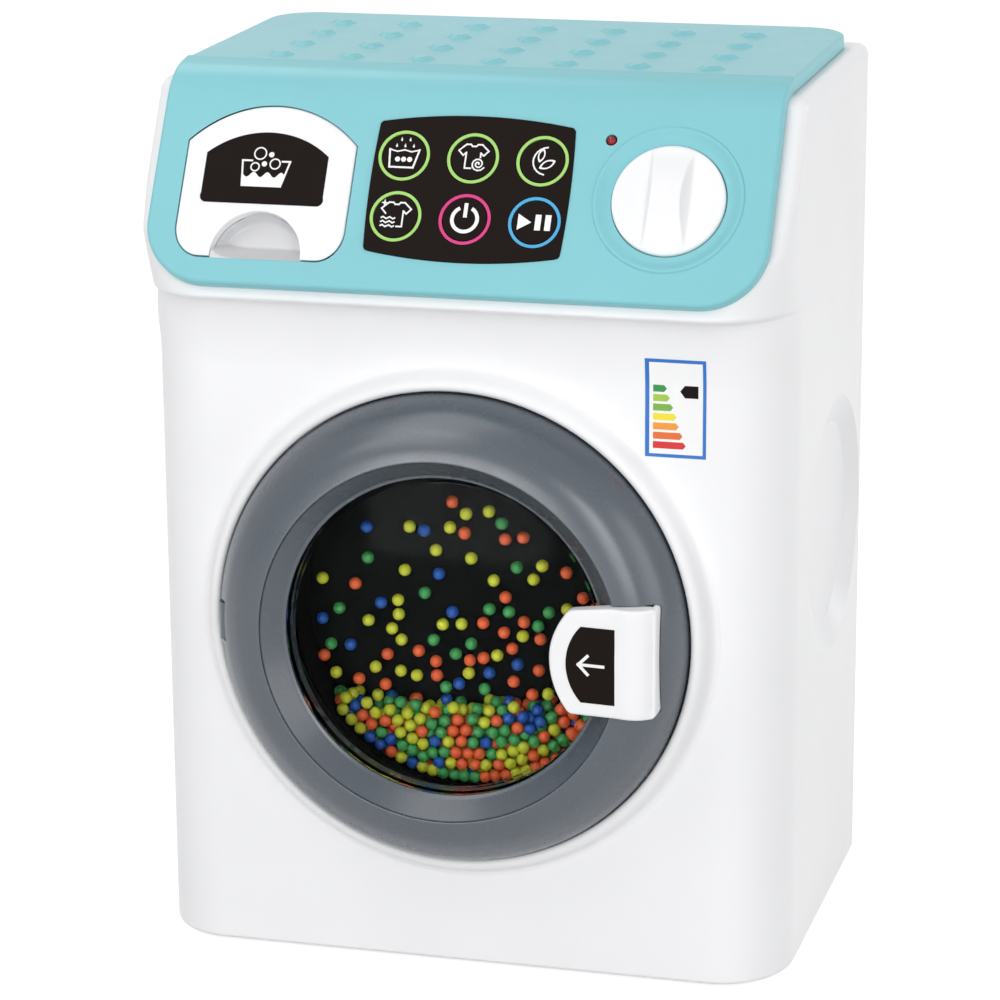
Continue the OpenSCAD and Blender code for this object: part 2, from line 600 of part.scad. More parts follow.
// detergent drawer
module drawer_front() color([0.97, 0.97, 0.97]) place() difference() {
  intersection() {
    drawer_column(0, -40, 40);
    panel_slab(-3, 0.45);
  }
  panel(scoop_u, scoop_v) translate([0, 0, -5]) cylinder(r = scoop_r, h = 8);
}
module label_shape() intersection() {
  union() {
    translate([-20.5, 6.2]) square([41, 30]);
    translate([-18.6, 4.1]) square([37.2, 6]);
    for (s = [-1, 1]) translate([s * 18.6, 6.2]) circle(r = 2.1, $fn = 32);
  }
  translate([0, 28.5 - 31.5]) circle(r = 31.5, $fn = 96);
}
module drawer_label() color([0.14, 0.1, 0.09]) place() panel(-64, 0) translate([0, 0, 0.45])
  linear_extrude(0.15) label_shape();
module bubble(x, y, r) translate([x, y]) difference() {
  circle(r = r, $fn = 32);
  circle(r = r - 0.45, $fn = 32);
}
module drawer_mark() color([0.95, 0.95, 0.95]) place() panel(-64, 16.2) translate([0, 0, 0.61]) linear_extrude(0.1) {
  path([[-4.9, 2.5], [-8, 2.5], [-7.2, -6], [5.8, -6], [8, 2.5], [5.4, 2.5]], 0.6);
  polygon(concat([[-7, -5.8], [5.6, -5.8]],
    [for (i = [0:24]) [6.7 - 13.9 * i / 24, -2.2 + 0.9 * sin(i * 45)]]));
  bubble(-2.4, 5, 2.2);
  bubble(-3.6, 0.4, 1.6);
  bubble(3, 1.6, 1.9);
  translate([1.4, 4.7]) circle(r = 0.9, $fn = 20);
  translate([-0.6, 1.5]) circle(r = 0.9, $fn = 20);
}
floor_z = panel_z - 12.06;
module drawer_grip() color([0.85, 0.85, 0.86]) place() difference() {
  union() {
    translate([scoop_u, 5.2, floor_z + 1]) rotate([90, 0, 0]) cylinder(r = 17, h = 17);
    translate([scoop_u - 17, 1, floor_z]) cube([34, 4.2, 6.6]);
  }
  difference() {
    translate([scoop_u, 4, floor_z + 1]) rotate([90, 0, 0]) cylinder(r = 15.8, h = 20);
    translate([scoop_u - 20, 1, floor_z - 5]) cube([40, 5, 12]);
    translate([scoop_u - 20, -20, floor_z - 5]) cube([40, 30, 6.2]);
  }
  translate([scoop_u - 20, -20, floor_z - 20]) cube([40, 40, 20]);
  panel_slab(-3, 40);
}
tray_half = 25;
tray_back = drawer_pull + 18;
module drawer_tray() color([0.85, 0.85, 0.86]) place() difference() {
  intersection() {
    translate([drawer_u - tray_half, -10, floor_z + 0.2]) cube([2 * tray_half, tray_back + 10, 25.5]);
    drawer_column(-0.4, -11, tray_back + 1);
  }
  panel_slab(-3, 40);
  translate([scoop_u - 17.1, -20, floor_z - 1]) cube([34.2, 25.3, 19.2]);
  intersection() {
    translate([drawer_u - tray_half + 1.4, 6.8, floor_z + 1.8]) cube([2 * tray_half - 2.8, tray_back - 8.2, 40]);
    drawer_column(-2, 0, tray_back);
  }
}
module drawer_guide() color([0.9, 0.9, 0.91]) place() difference() {
  translate([drawer_u - tray_half - 2, -8, floor_z - 1.6]) cube([2 * tray_half + 4, tray_back + 10.4, 24]);
  translate([drawer_u - tray_half - 0.4, -9, floor_z - 0.2]) cube([2 * tray_half + 0.8, tray_back + 9.6, 40]);
  panel_slab(-skin - 1, 40);
}

// door
ring_outer = [[ring_radius - 0.3, 1.3], [ring_radius, 2], [ring_radius, 8], [ring_radius - 0.5, 10],
  [ring_radius - 1.4, 12.4], [ring_radius - 2.9, 15.2], [ring_radius - 4.9, 17.9], [ring_radius - 7.4, 20.2],
  [ring_radius - 10.4, 22.3], [ring_radius - 14, 23.8], [ring_radius - 18.2, 24.8], [ring_radius - 18.6, 24.6],
  [ring_radius - 18.6, 24.1]];
module door_ring() color([0.42, 0.45, 0.49]) place() difference() {
  door_frame() rotate_extrude($fn = 128) polygon(concat(ring_outer,
    [[window_radius + 0.3, 17.3], [window_radius, 17.1], [window_radius, 15.7], [window_radius + 3.2, 15.7],
     [window_radius + 3.2, 1.3]]));
  // hollow back, left solid round the hinge and the handle pocket
  difference() {
    door_frame() rotate_extrude($fn = 96) polygon([[window_radius + 6, 0], [ring_radius - 2.4, 0], [ring_radius - 2.4, 7.6],
      [ring_radius - 5.2, 13.5], [ring_radius - 9.4, 17.6], [ring_radius - 15, 20.2],
      [window_radius + 6.9, 20.2], [window_radius + 6, 17]]);
    translate([-100, -40, door_height - 14]) cube([36, 50, 28]);
    translate([pocket_x0 - 4.9, -40, door_height - 24.4]) cube([30, 50, 48.8]);
  }
  // notch for the hinge arm and bore for the pin
  translate([-100, -hinge_f - 4, door_height - 6.7]) cube([100 + hinge_x + 4.2, 40, 13.4]);
  translate([hinge_x, -hinge_f, door_height - 12.3]) cylinder(r = 1.25 + fit, h = 24.6, $fn = 32);
  // pocket of the handle, slot of the latch arm and bore for the pin
  translate([pocket_x0, -40, door_height + handle_mid - pocket_half])
    cube([pocket_x1 - pocket_x0, 40 - 14.2, 2 * pocket_half]);
  translate([pocket_x0 - 14, -40, door_height + handle_mid - pocket_half]) cube([15, 40 - 22, 2 * pocket_half]);
  translate([pocket_x0 + 1.3, -20, door_height - 5.9]) cube([pocket_x1 - pocket_x0 - 1.3, 30, 11.8]);
  translate([pivot_x, -pivot_f, door_height - 23.4]) cylinder(r = 1.2 + fit, h = 46.8, $fn = 32);
}
sphere_r = (window_radius * window_radius + window_rise * window_rise) / (2 * window_rise);
module window_dome(r, h) rotate_extrude($fn = 96) intersection() {
  translate([0, 16.8 + h - r]) circle(r = r, $fn = 360);
  translate([0, 10]) square([window_radius - 0.1, 30]);
}
module door_window() color([0.8, 0.88, 0.9, 0.3]) place() door_frame() difference() {
  union() {
    window_dome(sphere_r, window_rise);
    translate([0, 0, 13.4]) cylinder(r = window_radius + 3.1, h = 2.2, $fn = 96);
  }
  window_dome(sphere_r, window_rise - 2);
  translate([0, 0, 10]) cylinder(r = window_radius - 2, h = 6.1, $fn = 96);
}
module window_retainer() color([0.42, 0.45, 0.49]) place() door_frame() difference() {
  translate([0, 0, 10.4]) cylinder(r = window_radius + 3.15, h = 3, $fn = 96);
  translate([0, 0, 9]) cylinder(r = window_radius - 0.4, h = 6, $fn = 96);
}
module hinge_bracket() color([0.42, 0.45, 0.49]) place() difference() {
  union() {
    translate([hinge_x, -hinge_f, door_height - 6.2]) cylinder(r = 3.6, h = 12.4);
    translate([hinge_x - 2.6, -hinge_f, door_height - 6.2]) cube([5.2, hinge_f + wall + 2.4, 12.4]);
    translate([hinge_x - 7, wall, door_height - 20]) cube([14, 2.4, 40]);
    // outer cheek that carries on the outline of the ring
    translate([0, 0, door_height - 6.2]) linear_extrude(12.4) polygon([[hinge_x, -1], [0.35 - ring_radius, -1],
      [0.35 - ring_radius, -8], [0.85 - ring_radius, -10], [1.9 - ring_radius, -12.4], [hinge_x, -12.8]]);
  }
  translate([hinge_x, -hinge_f, door_height - 10]) cylinder(r = 1.27, h = 20, $fn = 32);
}
module hinge_pin() color([0.7, 0.71, 0.73]) place() translate([hinge_x, -hinge_f, door_height - 12])
  cylinder(r = 1.25, h = 24, $fn = 32);
module handle_shape(g) intersection() {
  translate([0, handle_mid - handle_half + g]) square([handle_right - g, 2 * handle_half - 2 * g]);
  translate([handle_right - 6.5, handle_mid]) circle(r = 28 - g, $fn = 96);
}
module door_handle() color([0.97, 0.97, 0.97]) place() difference() {
  union() {
    intersection() {
      door_frame() linear_extrude(40) handle_shape(0);
      translate([0, 0, door_height - 30]) linear_extrude(60) polygon([[handle_right - 41.5, -22.3],
        [handle_right - 41.5, -25.2], [handle_right - 31.5, -25.8], [handle_right - 12.3, -27.555],
        [handle_right - 10.5, -28.05], [handle_right - 8.5, -28.35], [handle_right - 6.3, -28.2],
        [handle_right - 3.9, -27.4], [handle_right - 1.9, -26], [handle_right - 0.6, -24], [handle_right, -21.6], [handle_right, -16.4], [handle_right - 0.8, -15.8], [pocket_x0 + 0.5, -15.8], [pocket_x0 + 0.5, -22.3]]);
    }
    translate([pivot_x - 3.6, -17, door_height - 5]) cube([5.4, 22.4, 10]);
    translate([pivot_x - 1, 3.2, door_height - 5]) cube([4.6, 2.2, 10]);
  }
  translate([pivot_x, -pivot_f, door_height - 25]) cylinder(r = 1.2 + fit, h = 50, $fn = 32);
}
label_lean = atan2(1.755, 19.2);
label_mid = -2.2;
module on_handle() door_frame() translate([handle_right - 31.5, 0, 25.8]) rotate([0, -label_lean, 0]) children();
module handle_label() color([0.14, 0.1, 0.09]) place() on_handle() translate([0, 0, 0.02]) linear_extrude(0.12)
  intersection() {
    translate([2, label_mid - 12.5]) square([17, 25]);
    translate([2.7 + 18, label_mid]) circle(r = 18, $fn = 96);
  }
module handle_mark() color([0.95, 0.95, 0.95]) place() on_handle() translate([10.6, label_mid, 0.15]) linear_extrude(0.1) {
  path([[4.6, 0], [-3.6, 0]], 1);
  path([[-0.6, 3], [-3.6, 0], [-0.6, -3]], 1);
}
module handle_pin() color([0.7, 0.71, 0.73]) place() translate([pivot_x, -pivot_f, door_height - 23])
  cylinder(r = 1.2, h = 46, $fn = 32);
module handle_spring() color([0.75, 0.76, 0.78]) place() for (s = [-1, 1])
  translate([pocket_x0 + 2.2, -14.2, door_height + s * 13]) rotate([90, 0, 0]) difference() {
    cylinder(r = 1.7, h = 1.1);
    translate([0, 0, -1]) cylinder(r = 1.1, h = 4);
  }

// drum
module drum_tub() color([0.1, 0.1, 0.11]) place() door_frame() {
  difference() {
    union() {
      translate([0, 0, -tub_back_y]) cylinder(r = drum_radius, h = tub_back_y - drum_front_y, $fn = 96);
      translate([0, 0, -tub_back_y - 6]) cylinder(r = 11, h = 7);
    }
    translate([0, 0, -chamber_y - chamber_depth]) cylinder(r = drum_radius - 2, h = chamber_depth + 10, $fn = 96);
    translate([0, 0, -chamber_y]) cylinder(r = drum_radius - 1.2, h = 10, $fn = 96);
    translate([0, 0, -tub_back_y - 7]) cylinder(r = 4.02, h = 8);
  }
}
module drum_disc() color([0.8, 0.88, 0.9, 0.3]) place() door_frame() translate([0, 0, -chamber_y])
  cylinder(r = drum_radius - 1.25, h = 2.1, $fn = 96);
module drum_axle() color([0.7, 0.71, 0.73]) place() door_frame() translate([0, 0, -gear_y - 6])
  cylinder(r = 4, h = gear_y + 6 - tub_back_y + 0.9);
module axle_bush() color([0.75, 0.6, 0.35]) place() door_frame() difference() {
  union() {
    translate([0, 0, -plate_y - 3]) cylinder(r = 7, h = 3);
    translate([0, 0, -plate_y]) cylinder(r = 9, h = 1.5);
  }
  translate([0, 0, -plate_y - 4]) cylinder(r = 4 + fit, h = 8);
}
// spur gears
function inv(a) = tan(a) * 180 / PI - a;
function flank(n, r) = let (rb = n * tooth_module / 2 * cos(pressure), a = r > rb ? acos(rb / r) : 0)
  90 / n - 0.9 * 18 / n / 6 + inv(pressure) - inv(a);
function gear_pts(n, tip_r, root_r) = let (p = n * tooth_module / 2,
    rr = [root_r, p - 0.45 * tooth_module, p, (p + tip_r) / 2, tip_r])
  [for (t = [0:n - 1]) each concat(
    [for (i = [0:4]) rr[i] * [cos(360 * t / n - flank(n, rr[i])), sin(360 * t / n - flank(n, rr[i]))]],
    [for (i = [0:4]) rr[4 - i] * [cos(360 * t / n + flank(n, rr[4 - i])), sin(360 * t / n + flank(n, rr[4 - i]))]])];
module drum_gear() color([0.9, 0.88, 0.8]) place() door_frame() translate([0, 0, -gear_y - 5]) difference() {
  union() {
    linear_extrude(5) polygon(gear_pts(gear_teeth, 30.85, 28.8));
    cylinder(r = 9, h = 6.4);
  }
  translate([0, 0, -1]) cylinder(r = 4.02, h = 9);
  for (a = [0:60:300]) rotate(a) translate([18, 0, -1]) cylinder(r = 5.5, h = 7);
}
module motor_pinion() color([0.9, 0.88, 0.8]) place() facing(0, door_height - motor_drop) translate([0, 0, -gear_y - 5])
  rotate(15) difference() {
    linear_extrude(5) polygon(gear_pts(pinion_teeth, 6.85, 4.75));
    translate([0, 0, -1]) cylinder(r = 1.02, h = 7);
  }
module motor_shaft() color([0.7, 0.71, 0.73]) place() facing(0, door_height - motor_drop)
  translate([0, 0, -motor_y - 20]) cylinder(r = 1, h = motor_y + 20 - gear_y + 0.5, $fn = 32);
module motor_can() color([0.65, 0.66, 0.68]) place() facing(0, door_height - motor_drop) difference() {
  union() {
    intersection() {
      translate([0, 0, -motor_y - 25]) cylinder(r = 10, h = 23);
      translate([-15, -7.6, -motor_y - 30]) cube([30, 15.2, 40]);
    }
    translate([0, 0, -motor_y - 2]) cylinder(r = 3, h = 1.9);
  }
  translate([0, 0, -motor_y - 21]) cylinder(r = 1 + fit, h = 30, $fn = 32);
}
module drive_frame() color([0.9, 0.9, 0.91]) place() difference() {
  union() {
    translate([-78, plate_y, door_height - 68]) cube([156, 3, 136]);
    for (s = [-1, 1]) facing(s * 17, door_height - motor_drop - 9) translate([0, 0, -motor_y]) cylinder(r = 3, h = motor_y - plate_y - 1);
    translate([-21, motor_y - 2, door_height - motor_drop - 14]) cube([42, 2, 10]);
    facing(0, door_height - motor_drop) translate([0, 0, -motor_y - 2]) cylinder(r = 13, h = 4);
  }
  for (sx = [-1, 1], sz = [-1, 1]) facing(sx * 46, door_height + sz * 38) translate([0, 0, -plate_y - 9]) cylinder(r = 24, h = 12);
  door_frame() translate([0, 0, -plate_y - 4]) cylinder(r = 7.02, h = 8);
  facing(0, door_height - motor_drop) translate([0, 0, -motor_y - 3]) cylinder(r = 3.05, h = 8);
  for (sx = [-1, 1], sz = [-1, 1]) facing(sx * post_x, door_height + sz * post_z) translate([0, 0, -plate_y - 4]) cylinder(r = 1.65, h = 6);
}

// beads: one layer heaped at the bottom, a few clinging higher up
bead_r = bead_size / 2;
bead_step = 4.62;
bead_y = chamber_y + 0.4 + 2.2;
bead_limit = drum_radius - 2 - 0.4 - 2.2;
function heap_top(x) = -23 + 5 * sin(x * 1.6) + 2 * sin(x * 9);
heap = [for (j = [-13:0], i = [-13:13]) let (x = (i + (abs(j) % 2) * 0.5) * bead_step, z = j * bead_step * 0.866)
  if (norm([x, z]) < bead_limit && z < heap_top(x)) [x, z, bead_y + 0.5 * (1 + sin(i * 77 + j * 131))]];
loose = [[-38, 9], [-31, -3], [-24, 14], [-15, -8], [-9, 22], [-3, 2], [4, -10], [9, 12], [14, 27], [18, -4],
  [22, 9], [27, 18], [31, 3], [36, 12], [29, -9], [40, -4], [-44, -6], [-20, 3], [-34, 20], [2, 33]];
bead_spots = concat(heap, [for (p = loose) [p[0], p[1], chamber_y + 0.25 + bead_size / 2]]);
function shade(i) = floor(i * 2.618 + 3 * sin(i * 47) + 8) % 4;
module beads(c) place() for (i = [0:len(bead_spots) - 1]) if (shade(i) == c)
  translate([bead_spots[i][0], bead_spots[i][2], door_height + bead_spots[i][1]]) sphere(r = bead_r);
module beads_yellow() color([0.78, 0.78, 0.2]) beads(0);
module beads_orange() color([0.92, 0.39, 0.2]) beads(1);
module beads_green() color([0.24, 0.6, 0.31]) beads(2);
module beads_blue() color([0.08, 0.31, 0.67]) beads(3);
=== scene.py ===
"""Looks of the toy washing machine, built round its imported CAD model."""

import contextlib
import math

import bmesh
import bpy
import numpy as np
from mathutils import Matrix, Vector


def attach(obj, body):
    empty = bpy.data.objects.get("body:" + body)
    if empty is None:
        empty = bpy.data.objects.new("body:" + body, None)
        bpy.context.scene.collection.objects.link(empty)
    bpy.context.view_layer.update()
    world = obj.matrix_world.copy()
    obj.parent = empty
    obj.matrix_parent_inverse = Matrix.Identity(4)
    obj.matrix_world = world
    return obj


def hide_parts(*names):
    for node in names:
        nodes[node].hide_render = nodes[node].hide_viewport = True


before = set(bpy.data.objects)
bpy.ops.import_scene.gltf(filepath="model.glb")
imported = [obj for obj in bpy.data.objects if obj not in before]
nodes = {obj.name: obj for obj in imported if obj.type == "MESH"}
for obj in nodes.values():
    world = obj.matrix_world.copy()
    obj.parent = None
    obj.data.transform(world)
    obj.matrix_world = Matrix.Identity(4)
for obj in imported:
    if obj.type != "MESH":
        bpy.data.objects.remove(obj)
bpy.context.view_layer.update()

# Casing millimetres, the same as in the part's source: x to the right, y back from the front
# face, z up. A height d is counted from RISE, where the flat front ends.
MM = 0.001
SHIFT_Y, SHIFT_Z = -55.05, 1.0  # from casing millimetres to the row frame
HALF_W, DEPTH, RISE, WALL = 107.5, 138.5, 200.0, 2.5
SLOPE, TILT = math.radians(30.5), math.radians(1.15)  # of the panel and of the top
PANEL_Y, PANEL_Z = -3.2, 249.5
PROUD = 5.0  # height of the cover over the casing's rim
RIM_Y = PANEL_Y + PROUD * math.cos(SLOPE)
RIM_Z = PANEL_Z - PROUD * math.sin(SLOPE)
TOP_Y, TOP_Z = 27.0, 288.8
DOOR_Z = 117.6
RING_R = 78.4
LIP_R = RING_R + 0.5
WINDOW_R = 53.1


# ---- materials
MAT = {}
MOTTLE_SCALE, GLOSS_SCALE = 14.0, 0.12  # of the colour noise, and of the gloss noise to the skin's
SKIN_DEPTH = 0.00002
BEAD_RGB = {"yellow": (206, 208, 48), "orange": (238, 98, 50), "green": (62, 156, 82),
            "blue": (22, 82, 172)}


def linear(rgb):
    """sRGB 0..255 to linear."""
    return [(c / 255 / 12.92 if c <= 10 else ((c / 255 + 0.055) / 1.055) ** 2.4) for c in rgb]


def noise(tree, place, scale, detail):
    """A noise texture in object coordinates."""
    n = tree.nodes.new("ShaderNodeTexNoise")
    n.inputs["Scale"].default_value = scale
    n.inputs["Detail"].default_value = detail
    tree.links.new(place, n.inputs["Vector"])
    return n.outputs["Fac"]


def plastic(name, rgb, rough=0.32, grain=0.5, scale=900.0, specular=0.5, mottle=0.02,
            metallic=0.0, transmission=0.0, ior=1.46, spread=0.06):
    """Moulded plastic: fine skin texture, uneven gloss and a faint variation of its colour."""
    m = MAT[name] = bpy.data.materials.new(name)
    m.use_nodes = True
    t = m.node_tree
    p = t.nodes["Principled BSDF"]
    p.inputs["IOR"].default_value = ior
    p.inputs["Specular IOR Level"].default_value = specular
    p.inputs["Metallic"].default_value = metallic
    p.inputs["Transmission Weight"].default_value = transmission
    place = t.nodes.new("ShaderNodeTexCoord").outputs["Object"]
    # colour: two close tones over a soft large-scale noise
    ramp = t.nodes.new("ShaderNodeValToRGB")
    base = linear(rgb)
    low, high = ramp.color_ramp.elements
    low.position, high.position = 0.3, 0.7
    low.color = [c * (1 - mottle) for c in base] + [1]
    high.color = [min(1, c * (1 + mottle)) for c in base] + [1]
    t.links.new(noise(t, place, MOTTLE_SCALE, 3.0), ramp.inputs["Fac"])
    t.links.new(ramp.outputs["Color"], p.inputs["Base Color"])
    # gloss: fine noise round the stated roughness
    span = t.nodes.new("ShaderNodeMapRange")
    span.inputs["To Min"].default_value = max(0.0, rough - spread)
    span.inputs["To Max"].default_value = min(1.0, rough + spread)
    t.links.new(noise(t, place, scale * GLOSS_SCALE, 4.0), span.inputs["Value"])
    t.links.new(span.outputs["Result"], p.inputs["Roughness"])
    # skin: the slight grain of a moulding tool
    bump = t.nodes.new("ShaderNodeBump")
    bump.inputs["Strength"].default_value = grain
    bump.inputs["Distance"].default_value = SKIN_DEPTH
    t.links.new(noise(t, place, scale, 2.0), bump.inputs["Height"])
    t.links.new(bump.outputs["Normal"], p.inputs["Normal"])
    return m


plastic("shell_white", (245, 245, 246), 0.36, 0.35, specular=0.3)
plastic("rear_white", (232, 232, 234), 0.45, 0.6)
plastic("cover_teal", (137, 203, 211), 0.31, 0.3, specular=0.16)
plastic("key_black", (25, 17, 15), 0.4, 0.3, scale=1400, specular=0.06)
plastic("ring_green", (160, 212, 104), 0.4, 0.2, mottle=0.05)
plastic("ring_magenta", (214, 40, 125), 0.4, 0.2, mottle=0.05)
plastic("ring_blue", (60, 165, 215), 0.4, 0.2, mottle=0.05)
plastic("print_white", (245, 245, 245), 0.5, 0.2)
plastic("lamp_red", (158, 14, 22), 0.12, 0.1, transmission=0.15)
plastic("steel", (190, 191, 194), 0.28, 0.3, metallic=1.0)
plastic("dark_plastic", (58, 58, 62), 0.45, 0.6)
plastic("board_green", (30, 92, 56), 0.4, 0.5, mottle=0.12)
plastic("drawer_grey", (214, 214, 216), 0.38, 0.4)
plastic("ring_grey", (67, 76, 86), 0.27, 0.25, specular=1.0)
plastic("clear", (248, 250, 250), 0.03, 0.05, mottle=0.0, transmission=1.0, ior=1.07, spread=0.01)
plastic("drum_black", (6, 11, 11), 0.6, 0.6, specular=0.02)
plastic("bronze", (186, 146, 84), 0.35, 0.3, metallic=1.0)
plastic("gear_cream", (226, 221, 202), 0.4, 0.4)
plastic("motor_metal", (168, 170, 174), 0.35, 0.4, metallic=1.0)
for colour, rgb in BEAD_RGB.items():
    plastic("bead_" + colour, rgb, 0.35, 0.3, mottle=0.08)
plastic("cell_wrap", (182, 176, 102), 0.4, 0.3, mottle=0.1)
plastic("foot_rubber", (190, 192, 196), 0.75, 0.9, scale=500)
plastic("sticker_blue", (28, 110, 196), 0.35, 0.15)


# ---- mesh help
WELD, WELD_CUT = 1e-7, 1.5e-6  # metres within which points are merged, as made and after cuts
FLAT = math.radians(0.2)  # faces that turn by less are one face


def P(x, y, z):
    """A point of the casing, in millimetres, in the row frame."""
    return (x * MM, (y + SHIFT_Y) * MM, (z + SHIFT_Z) * MM)


def add_object(name, data):
    """A new object in the scene."""
    o = bpy.data.objects.new(name, data)
    bpy.context.scene.collection.objects.link(o)
    return o


def shade(o, angle=35.0):
    """Smooth shading, sharp where the faces turn by more than the angle."""
    o.data.shade_smooth()
    o.data.set_sharp_from_angle(angle=math.radians(angle))


@contextlib.contextmanager
def edited(o):
    """The object's mesh as a bmesh, written back at the end."""
    b = bmesh.new()
    b.from_mesh(o.data)
    yield b
    b.to_mesh(o.data)
    b.free()


def mesh_of(name, verts, faces, slot=None, angle=35.0):
    """A new mesh object from points in casing millimetres."""
    me = bpy.data.meshes.new(name)
    me.from_pydata([P(*v) for v in verts], [], faces)
    me.validate()
    o = add_object(name, me)
    shade(o, angle)
    if slot:
        me.materials.append(MAT[slot])
    return o


def solid_of(name, verts, faces, slot=None, angle=35.0):
    """A mesh object whose points are merged and whose faces point outwards."""
    o = mesh_of(name, verts, faces, slot, angle)
    with edited(o) as b:
        bmesh.ops.remove_doubles(b, verts=b.verts, dist=WELD)
        bmesh.ops.recalc_face_normals(b, faces=b.faces)
    return o


def boolean(o, cutters, op="DIFFERENCE", solver="MANIFOLD", angle=35.0):
    """Cuts o with each cutter in turn, bakes the result and removes the cutters."""
    for c in cutters:
        m = o.modifiers.new("cut", "BOOLEAN")
        m.object, m.operation, m.solver = c, op, solver
        dg = bpy.context.evaluated_depsgraph_get()
        made = bpy.data.meshes.new_from_object(o.evaluated_get(dg), depsgraph=dg)
        o.modifiers.clear()
        if len(made.polygons):
            made, o.data = o.data, made
        else:
            print("boolean failed:", o.name, c.name)
        bpy.data.meshes.remove(made)
        bpy.data.objects.remove(c)
    shade(o, angle)


def clean(o):
    """Merges stray points and drops needle faces that a cut leaves."""
    with edited(o) as b:
        bmesh.ops.remove_doubles(b, verts=b.verts, dist=WELD_CUT)
        bmesh.ops.dissolve_degenerate(b, dist=1e-6, edges=b.edges)
        bmesh.ops.dissolve_limit(b, angle_limit=FLAT, verts=b.verts, edges=b.edges)
        bmesh.ops.triangulate(b, faces=[f for f in b.faces if len(f.verts) > 4])


def weighted(o):
    """Shading that follows the large faces beside a rounded edge."""
    m = o.modifiers.new("shading", "WEIGHTED_NORMAL")
    m.keep_sharp = True
    m.weight = 70


def join(objs, name):
    """Several loose meshes as one object."""
    b = bmesh.new()
    mats = []
    for o in objs:
        for m in o.data.materials:
            if m not in mats:
                mats.append(m)
        place = [mats.index(m) for m in o.data.materials]
        first = len(b.faces)
        b.from_mesh(o.data)
        b.faces.ensure_lookup_table()
        for f in b.faces[first:]:
            f.material_index = place[f.material_index] if place else 0
    me = bpy.data.meshes.new(name)
    b.to_mesh(me)
    b.free()
    for m in mats:
        me.materials.append(m)
    joined = add_object(name, me)
    for o in objs:
        bpy.data.objects.remove(o)
    joined.name = name
    return joined


def circle(r, seg):
    """Points of a circle, from +x towards +y."""
    turns = [2 * math.pi * k / seg for k in range(seg)]
    return [(r * math.cos(a), r * math.sin(a)) for a in turns]


def placed(rows, at=lambda *p: p):
    """All points of the rows as one list, each put in its place."""
    return [at(*p) for row in rows for p in row]


def strips(rows, closed=True):
    """Quads between successive rows of n points; point k of row r has index r * n + k."""
    n, faces = len(rows[0]), []
    for r in range(len(rows) - 1):
        for k in range(n if closed else n - 1):
            a, b = r * n + k, r * n + (k + 1) % n
            faces.append((a, b, b + n, a + n))
    return faces


def ends(rows, turn=-1):
    """The faces that close the first and the last row."""
    n = len(rows[0])
    last = n * (len(rows) - 1)
    return [tuple(range(n))[::turn], tuple(range(last, last + n))[::-turn]]


def revolve(name, profile, centre, seg=160, slot=None, angle=35.0, closed=False):
    """Turns (radius, forward) pairs about the axis of centre, which places points."""
    rows = [[(x, y, f) for x, y in circle(r, seg)] for r, f in profile]
    if closed:
        rows.append(rows[0])
    o = solid_of(name, placed(rows, centre), strips(rows), slot, angle)
    shade(o, angle)
    return o


def prism(name, outline, at, low, high):
    """A cutter with that outline between two heights."""
    rows = [[(x, y, h) for x, y in outline] for h in (low, high)]
    return solid_of(name, placed(rows, at), strips(rows) + ends(rows))


def disc_cut(name, r, low, high, centre, seg=160):
    """A round cutter between two heights."""
    return prism(name, circle(r, seg), centre, low, high)


def box(name, x, y, z, round_r=0.0, slot=None):
    """A box between pairs of casing millimetres, with its edges along y rounded."""
    b = bmesh.new()
    lo, hi = Vector(P(x[0], y[0], z[0])), Vector(P(x[1], y[1], z[1]))
    bmesh.ops.create_cube(b, size=1.0)
    for v in b.verts:
        v.co = Vector([(lo[i] if v.co[i] < 0 else hi[i]) for i in range(3)])
    if round_r:
        along = [e for e in b.edges if abs((e.verts[0].co - e.verts[1].co).y) > 1e-6]
        bmesh.ops.bevel(b, geom=along, offset=round_r * MM, segments=6, profile=0.5,
                        affect="EDGES")
    me = bpy.data.meshes.new(name)
    b.to_mesh(me)
    b.free()
    if slot:
        me.materials.append(MAT[slot])
    return add_object(name, me)


def door_at(x, y, f):
    """Door coordinates: x right, y up, f forwards out of the casing front."""
    return (x, -f, DOOR_Z + y)


def panel_at(u, v):
    """Coordinates round (u, v) on the sloping panel, h out along its normal."""
    def at(x, y, h):
        up = v + y
        return (u + x, PANEL_Y + up * math.sin(SLOPE) - h * math.cos(SLOPE),
                PANEL_Z + up * math.cos(SLOPE) + h * math.sin(SLOPE))
    return at


def pchip(xs, ys):
    """Monotone cubic through the points."""
    xs, ys = np.array(xs, float), np.array(ys, float)
    h = np.diff(xs)
    d = np.diff(ys) / h
    m = np.zeros(len(xs))
    for i in range(1, len(xs) - 1):
        if d[i - 1] * d[i] > 0:
            w1, w2 = 2 * h[i] + h[i - 1], h[i] + 2 * h[i - 1]
            m[i] = (w1 + w2) / (w1 / d[i - 1] + w2 / d[i])
    m[0], m[-1] = d[0], d[-1]

    def f(x):
        x = min(max(x, xs[0]), xs[-1])
        i = min(int(np.searchsorted(xs, x, side="right")) - 1, len(xs) - 2)
        s = (x - xs[i]) / h[i]
        return float((1 + 2 * s) * (1 - s) ** 2 * ys[i] + s * (1 - s) ** 2 * h[i] * m[i]
                     + s * s * (3 - 2 * s) * ys[i + 1] + s * s * (s - 1) * h[i] * m[i + 1])
    return f


